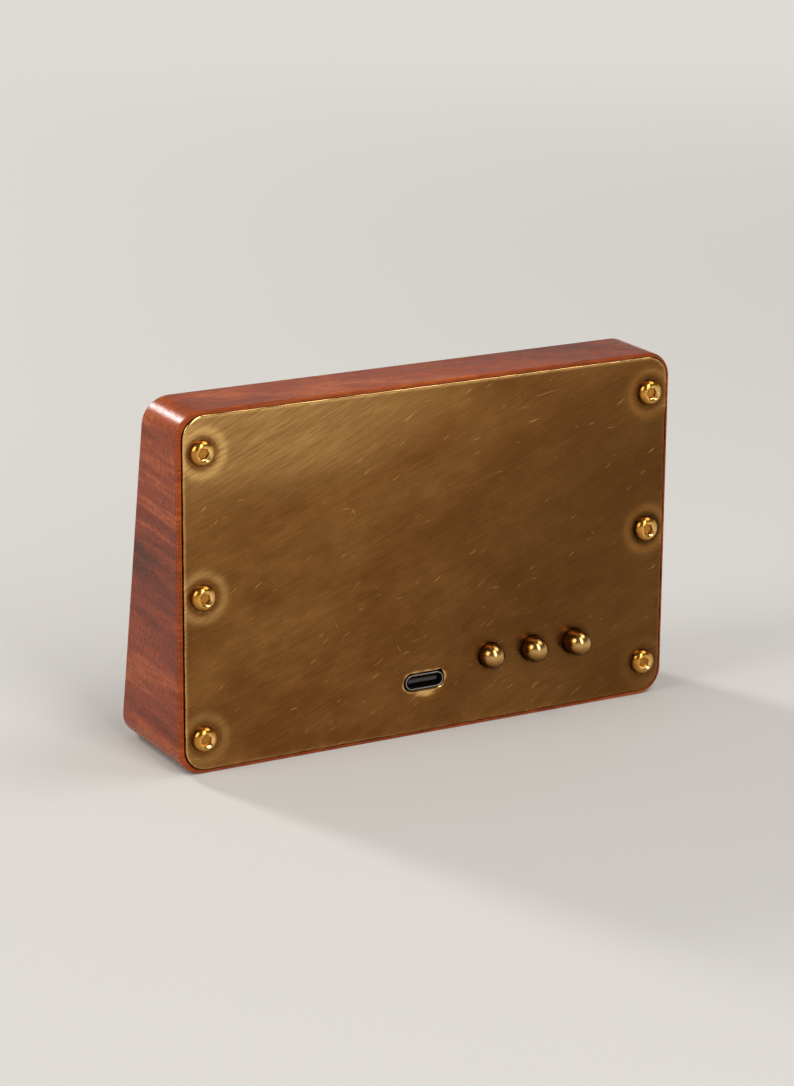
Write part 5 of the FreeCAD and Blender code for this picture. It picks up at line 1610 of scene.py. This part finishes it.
@dataclass(frozen=True)
class PushButtons:
    """Three round-nosed brass caps, each on its own switch."""

    centres: tuple[Pair, ...] = BackSheet().buttons
    rises: tuple[float, ...] = (0.9, 1.5, 2.1)
    back: float = BackSheet().back
    radius: float = 2.65
    rear: float = 8.5
    rear_round: float = 0.15
    bore: float = 1.77
    bore_end: float = 11.5
    bore_round: float = 0.05
    flank_start: float = 1.0     # past the rear
    flank_rows: int = 5
    nose_rows: int = 21
    wear_marks: Pair = (0.4, 2.4)            # past the shoulder
    wear_and_light: Triple = (-0.7, -0.35, 0.35)       # at the sheet and at those marks: painted shade towards the sheet, rubbed bright on the nose
    painted_underside_shade: float = 1.0        # painted shade on the underside of each cap
    per_quarter: int = 20

    def cap(self, number: int, centre: Pair, rise: float) -> bpy.types.Object:
        """Turns a profile of bore, rear edge, flank and quarter circle about a cap's axis.

        Args:
            number: the cap's number.
            centre: its axis, as (x, z).
            rise: how far its flank stands out of the sheet.

        Returns:
            The cap.
        """
        shoulder = self.back + rise
        rear = rounded([(0, self.bore_end, 0), (self.bore, self.bore_end, self.bore_round),
                        (self.bore, self.rear, self.bore_round), (self.radius, self.rear, self.rear_round),
                        (self.radius, shoulder, 0)], steps=3)
        flank_y = np.linspace(self.rear + self.flank_start, shoulder, self.flank_rows + 1)[:-1]
        flank = np.stack([np.full(self.flank_rows, self.radius), flank_y], -1)
        turn = np.linspace(0, math.pi / 2, self.nose_rows + 1)[1:]
        nose = np.stack([self.radius * np.cos(turn), shoulder + self.radius * np.sin(turn)], -1)
        nose[-1, 0] = 0
        profile = np.concatenate([rear[:-1], flank, rear[-1:], nose])
        marks = [self.back, *(shoulder + mark for mark in self.wear_marks)]
        # rubbed bright on the nose, and painted shade towards the sheet
        rubbed = np.interp(profile[:, 1], marks, self.wear_and_light)
        rows = Outline.axis(centre, self.per_quarter).swept(profile)
        # painted shade on each cap's lower half
        under = np.clip(2 * (centre[1] - rows[..., 2]) / self.radius, 0, 1)
        skin = Skin()
        skin.sheet(rows, (rubbed[:, None] - self.painted_underside_shade * under).ravel())
        return stand_for(skin.piece(f"button_nose_{number}", BUTTON_BRASS), f"button_{number}",
                         "button_brass", f"button_cap_{number}")

    def build(self) -> list[bpy.types.Object]:
        """The caps, the one by the inlet first."""
        return [self.cap(number, centre, rise)
                for number, (centre, rise) in enumerate(zip(self.centres, self.rises), start=1)]


@dataclass(frozen=True)
class InletShell:
    """The pressed steel shell of the power inlet, its lip rolled round."""

    centre: Pair = BackSheet().slot_centre
    half: Pair = (4.47, 1.63)
    wall: float = 0.3
    mouth: float = 14.1
    length: float = 7.35
    lip_round: float = 0.12
    rear_round: float = 0.05

    def build(self) -> bpy.types.Object:
        """Carries the wall's section round an oval.

        Returns:
            The piece.
        """
        half_x, half_z = self.half
        rear = self.mouth - self.length
        middle = (self.mouth + rear) / 2
        section = rounded([(0, middle, 0), (0, self.mouth, self.lip_round),
                           (-self.wall, self.mouth, self.lip_round), (-self.wall, rear, self.rear_round),
                           (0, rear, self.rear_round), (0, middle, 0)], steps=4, hold=0.04)
        skin = Skin()
        skin.sheet(Outline.oval(half_x - half_z, 0, half_z, self.centre, per_quarter=14).swept(section))
        return stand_for(skin.piece("inlet_shell", InsideFinish.STAINLESS.value), CLOCK, "port_steel",
                         "usb_shell")


# ------------------------------------------------------------------ the tubes
@dataclass(frozen=True)
class Collar:
    """A flanged brass ring: a sleeve in the wood with a flange that stands proud of it. Radii
    are offsets from the outline that it is carried round."""

    bore: float
    outer: float
    flange: float
    proud: float
    length: float
    rounds: Box                  # of the rear, the mouth, the flange's rim and the flange's foot
    start: float = 2.0           # depth at which the section starts and ends
    root: float = 0.02           # radius in the corner under the flange

    def section(self, steps: int) -> np.ndarray:
        """Its section, from the outside of the sleeve round the rear, the bore and the flange.

        Args:
            steps: chords in each rounding.

        Returns:
            (m, 2) offsets and depths.
        """
        rear, mouth, rim, foot = self.rounds
        return rounded([(self.outer, self.start, 0), (self.outer, self.length, rear),
                        (self.bore, self.length, rear), (self.bore, -self.proud, mouth),
                        (self.flange, -self.proud, rim), (self.flange, 0, foot),
                        (self.outer, 0, self.root), (self.outer, self.start, 0)], steps)


@dataclass(frozen=True)
class Tubes:
    """Four oval display tubes in brass rings, and the colon's two lamps between them."""

    xs: tuple[float, ...] = (-39.9, -15.5, 15.5, 39.9)
    up: float = 41.0
    half: Pair = (10.5, 15.5)
    front: float = -14.12
    foot: float = 9.38
    wall: float = 1.0
    edge_radius: float = 1.8
    inner_radius: float = 0.8
    bulge: float = 0.22          # the flat end is blown out a little
    foot_round: float = 0.2
    flank_end: float = 4.0       # past the front, where the flank's rows end
    edge_rows: int = 9
    cap_rows: int = 7
    ring: Collar = Collar(0.2, 0.9, 1.4, 0.8, 4.5, (0.1, 0.18, 0.3, 0.05))
    hole_offset: float = 0.95    # the wood's window outside the glass
    side_margin: float = 0.35    # of the front's grid round the windows
    up_margin: float = 0.85
    lamp_ups: Pair = (35.5, 46.5)
    lamp_radius: float = 2.0
    lamp_wall: float = 0.35
    lamp_front: float = -1.2
    lamp_back: float = 8.8
    lamp_rows: int = 12
    eyelet: Collar = Collar(2.1, 2.5, 3.0, 0.5, 4.0, (0.08, 0.15, 0.22, 0.04))
    eyelet_hole: float = 2.55

    def openings(self) -> list[Opening]:
        """The windows and lamp holes of the wooden front, in (x, distance up the front).

        Returns:
            The windows, and then the holes of the colon's lamps.
        """
        radius = self.half[0] + self.hole_offset
        core = (0.0, self.half[1] - self.half[0])
        between = (self.xs[2] + self.xs[3]) / 2
        middle = 2 * self.xs[2] - between
        end = self.xs[3] + radius + self.side_margin
        low = self.up - self.half[1] - self.hole_offset - self.up_margin
        high = 2 * self.up - low
        spans = ((-end, -between), (-between, -middle), (middle, between), (between, end))
        windows = [Opening((x, self.up), core, radius, (x0, x1, low, high))
                   for x, (x0, x1) in zip(self.xs, spans)]
        lamps = [Opening((0.0, up), (0, 0), self.eyelet_hole, (-middle, middle, up - middle, up + middle))
                 for up in self.lamp_ups]
        return windows + lamps

    def outline(self, x: float, per_quarter: int = 20) -> Outline:
        """The glass's oval outline about one tube's axis."""
        half_x, half_z = self.half
        return Outline.oval(0, half_z - half_x, half_x, (x, self.up), per_quarter)

    def glass_section(self) -> np.ndarray:
        """The envelope's section from the middle of its inner face round its open end to the
        middle of its front, whose height falls away with the square of the distance.

        Returns:
            (m, 2) offsets and depths.
        """
        radius, edge, dip = self.half[0], self.edge_radius, self.bulge
        inner = rounded([(-radius, self.front + self.wall, 0),
                         (-self.wall, self.front + self.wall, self.inner_radius),
                         (-self.wall, self.foot, self.foot_round), (0, self.foot, self.foot_round),
                         (0, self.front + self.flank_end, 0)], steps=6)
        turn = np.linspace(0, math.pi / 2, self.edge_rows)
        bend = np.stack([-edge * (1 - np.cos(turn)), self.front + dip + edge * (1 - np.sin(turn))], -1)
        out = np.linspace(-edge, -radius, self.cap_rows + 1)[1:]
        cap = np.stack([out, self.front + dip * ((out + radius) / (radius - edge)) ** 2], -1)
        return np.concatenate([inner, bend, cap])

    def bulb_section(self) -> np.ndarray:
        """A colon lamp's section: two quarter circles about one centre, joined at the open end.

        Returns:
            (m, 2) radii and depths.
        """
        turn = np.linspace(0, math.pi / 2, self.lamp_rows)
        outer, inner = self.lamp_radius, self.lamp_radius - self.lamp_wall
        centre = self.lamp_front + outer
        section = np.concatenate([
            np.stack([inner * np.sin(turn), centre - inner * np.cos(turn)], -1),
            [(inner, self.lamp_back), (outer, self.lamp_back)],
            np.stack([outer * np.cos(turn), centre - outer * np.sin(turn)], -1)])
        section[[0, -1], 0] = 0
        return section

    def build(self, wedge: Wedge) -> list[bpy.types.Object]:
        """Makes glasses, rings, lamp bulbs and eyelets, each a section carried round an oval.

        Args:
            wedge: the case, which leans them.

        Returns:
            The pieces.
        """
        tubes = [(str(number), [self.outline(x)]) for number, x in enumerate(self.xs, start=1)]
        lamps = [Outline.axis((0, up), per_quarter=16) for up in self.lamp_ups]
        glass, ring = self.glass_section(), self.ring.section(5)
        plans = [plan for number, outlines in tubes for plan in (
            (f"tube_envelope_{number}", outlines, glass, GLASS, "tube_glass", f"tube_glass_{number}"),
            (f"tube_ring_{number}", outlines, ring, BEZEL_BRASS, "bezel_brass", f"tube_bezel_{number}"))]
        plans += [("colon_bulbs", lamps, self.bulb_section(), GLASS, "tube_glass", "colon_lamp_glass"),
                  ("colon_rings", lamps, self.eyelet.section(4), BEZEL_BRASS, "bezel_brass",
                   "colon_eyelets")]
        made = []
        for name, outlines, section, finish, slot, node in plans:
            skin = Skin()
            for outline in outlines:
                skin.sheet(wedge.lean(outline.swept(section)))
            made.append(stand_for(skin.piece(name, finish), CLOCK, slot, node))
        return made


# ------------------------------------------------------------------ the parts inside
@dataclass(frozen=True)
class InsideParts:
    """The nodes that keep their CAD mesh, with the finish of each."""

    finishes: dict[InsideFinish, tuple[str, ...]] = field(default_factory=lambda: {
        InsideFinish.FOOT_GLASS: ("tube_foot_", "colon_lamp_seals"),
        InsideFinish.BRASS: ("threaded_inserts", "display_pillars", "control_pillars"),
        InsideFinish.CAN: ("tube_anode_",),
        InsideFinish.NUMERAL: ("tube_digits_", "colon_electrodes"),
        InsideFinish.TINNED: ("tube_pins", "supply_transistor"),
        InsideFinish.BLACK_PLASTIC: ("tube_sockets", "cell_holder", "link_strip", "switch_bodies",
                                     "switch_stem_"),
        InsideFinish.TONGUE: ("usb_insulator",),
        InsideFinish.BOARD: ("display_board", "control_board"),
        InsideFinish.ZINC: ("display_screws", "control_screws", "backup_cell", "clock_crystal",
                            "switch_brackets", "switch_domes"),
        InsideFinish.CHIP: ("driver_chips", "processor", "clock_chip"),
        InsideFinish.RESISTOR: ("anode_resistors",),
        InsideFinish.GOLD: ("link_pins", "usb_contacts"),
        InsideFinish.FERRITE: ("supply_inductor",),
        InsideFinish.SLEEVE: ("supply_capacitor",),
    })

    def dress(self, nodes: dict[str, bpy.types.Object]) -> int:
        """Gives each node that still shows its finish.

        Args:
            nodes: the frame's nodes by name.

        Returns:
            How many were dressed.
        """
        count = 0
        for name, node in nodes.items():
            if node.hide_render:
                continue
            finish = next(kind for kind, starts in self.finishes.items() if name.startswith(starts))
            node.data.materials.clear()
            node.data.materials.append(finish.value.material())
            count += 1
        return count


# ------------------------------------------------------------------ the studio
@dataclass(frozen=True)
class SoftBox:
    """A square-cornered soft lamp that looks at a point."""

    name: str
    place: Triple
    aim: Triple
    size: Pair
    watts: float
    colour: str = "#FFFFFF"

    def light(self) -> None:
        """Hangs the lamp, its long side as upright as its aim lets it be."""
        data = bpy.data.lights.new(self.name, "AREA")
        data.shape = "RECTANGLE"
        data.size, data.size_y = self.size
        data.energy = self.watts
        data.color = linear(self.colour)[:3]
        lamp = bpy.data.objects.new(self.name, data)
        way = Vector(self.aim) - Vector(self.place)
        lamp.matrix_world = Matrix.Translation(self.place) @ way.to_track_quat("-Z", "Y").to_matrix().to_4x4()
        bpy.context.scene.collection.objects.link(lamp)


@dataclass(frozen=True)
class Studio:
    """Pale floor, plain soft light, and the camera behind the clock's left end."""

    camera_place: Triple = (0.33862, 0.60933, 0.24814)
    azimuth: float = 150.928
    elevation: float = 16.834
    roll: float = 0.407
    lens: float = 116.41
    sensor: float = 36.0
    clip: Pair = (0.01, 50.0)
    backdrop: str = "#DEDBD6"
    ceiling: str = "#6F6C68"
    dusk: Pair = (0.12, 0.42)    # steepness at which the backdrop starts and ends darkening
    floor_reach: float = 6.0
    floor_rings: int = 12
    floor_around: int = 96
    fill: float = 0.42
    boxes: tuple[SoftBox, ...] = (
        SoftBox("camera_side_strip", (-0.04, 1.06, 0.94), (0, 0, 0.03), (0.42, 1.3), 10.0),
        SoftBox("overhead_box", (-0.60, 0.24, 1.20), (0, 0, 0.04), (0.7, 0.6), 4.0),
        SoftBox("left_box", (1.15, 0.10, 0.80), (0, 0, 0.04), (0.7, 0.7), 7.0),
        SoftBox("front_box", (0.42, -1.15, 0.68), (0, 0, 0.04), (0.20, 0.34), 9.0),
    )

    def build(self) -> None:
        """Sets up floor, world, lamps and camera."""
        scene = bpy.context.scene
        scene.view_settings.view_transform = "Standard"
        self.floor()
        self.world(scene)
        for box in self.boxes:
            box.light()
        data = bpy.data.cameras.new("camera")
        data.lens, data.sensor_width = self.lens, self.sensor
        data.clip_start, data.clip_end = self.clip
        camera = bpy.data.objects.new("camera", data)
        turn = (Matrix.Rotation(math.radians(self.azimuth), 4, "Z")
                @ Matrix.Rotation(math.radians(90 - self.elevation), 4, "X")
                @ Matrix.Rotation(math.radians(self.roll), 4, "Z"))
        camera.matrix_world = Matrix.Translation(self.camera_place) @ turn
        scene.collection.objects.link(camera)
        scene.camera = camera

    def floor(self) -> None:
        """A level disc: rings of points at growing radii, with its faces upwards."""
        rings, around = self.floor_rings, self.floor_around
        radii = self.floor_reach * np.linspace(0, 1, rings + 1)[1:, None] ** 2
        turn = np.linspace(0, 2 * math.pi, around, endpoint=False)
        flat = np.stack([radii * np.cos(turn), radii * np.sin(turn), np.zeros((rings, around))], -1)
        points = np.concatenate([flat.reshape(-1, 3), [(0, 0, 0)]])
        index = np.arange(rings * around).reshape(rings, around)
        hub = np.stack([index[0], np.roll(index[0], -1), np.full(around, rings * around)], -1)
        mesh = bpy.data.meshes.new("floor")
        mesh.from_pydata(points.tolist(), [], quads_between(index, True).tolist() + hub.tolist())
        face_outwards(mesh)
        mesh.materials.append(StudioFloor().material())
        floor = bpy.data.objects.new("floor", mesh)
        bpy.context.scene.collection.objects.link(floor)

    def world(self, scene: bpy.types.Scene) -> None:
        """A pale backdrop that darkens overhead, as the camera, metal and glass see it, and a
        weaker even fill for all else.

        Args:
            scene: the scene that gets it.
        """
        world = bpy.data.worlds.new("studio")
        world.use_nodes = True
        tree = world.node_tree
        tree.nodes.clear()
        fill = add(tree, "Background", in_Color=linear(self.backdrop), in_Strength=self.fill).outputs[0]
        way = add(tree, "TexCoord").outputs["Generated"]
        up = add(tree, "SeparateXYZ", {0: way}).outputs["Z"]
        start, end = self.dusk
        sky = add(tree, "ValToRGB", {"Fac": up},
                  stops=[(start, self.backdrop), (end, self.ceiling)]).outputs[0]
        shown = add(tree, "Background", {"Color": sky}, in_Strength=1.0).outputs[0]
        mixed = add(tree, "MixShader", {0: seen_rays(tree), 1: fill, 2: shown}).outputs[0]
        add(tree, "OutputWorld", {"Surface": mixed})
        scene.world = world


def corners(bounds: tuple[Vector, Vector]) -> list[list[float]]:
    """A box's two corners as plain lists."""
    return [list(corner) for corner in bounds]


def main() -> None:
    """Builds the clock's pieces in order, dresses the rest and sets up the studio."""
    logging.basicConfig(level=logging.INFO, format="%(name)s: %(message)s")
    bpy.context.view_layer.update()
    wedge, tubes = Wedge(), Tubes()
    made = [wedge.build(tubes.openings()), BackSheet().build(), BackScrews().build(),
            *PushButtons().build(), InletShell().build(), *tubes.build(wedge)]
    for piece in made:
        LOG.info("%s: %d faces", piece.name, len(piece.data.polygons))
    LOG.info("%d pieces made, %d nodes keep their CAD mesh", len(made), InsideParts().dress(frame["nodes"]))
    Studio().build()


if __name__ == "__main__":
    main()
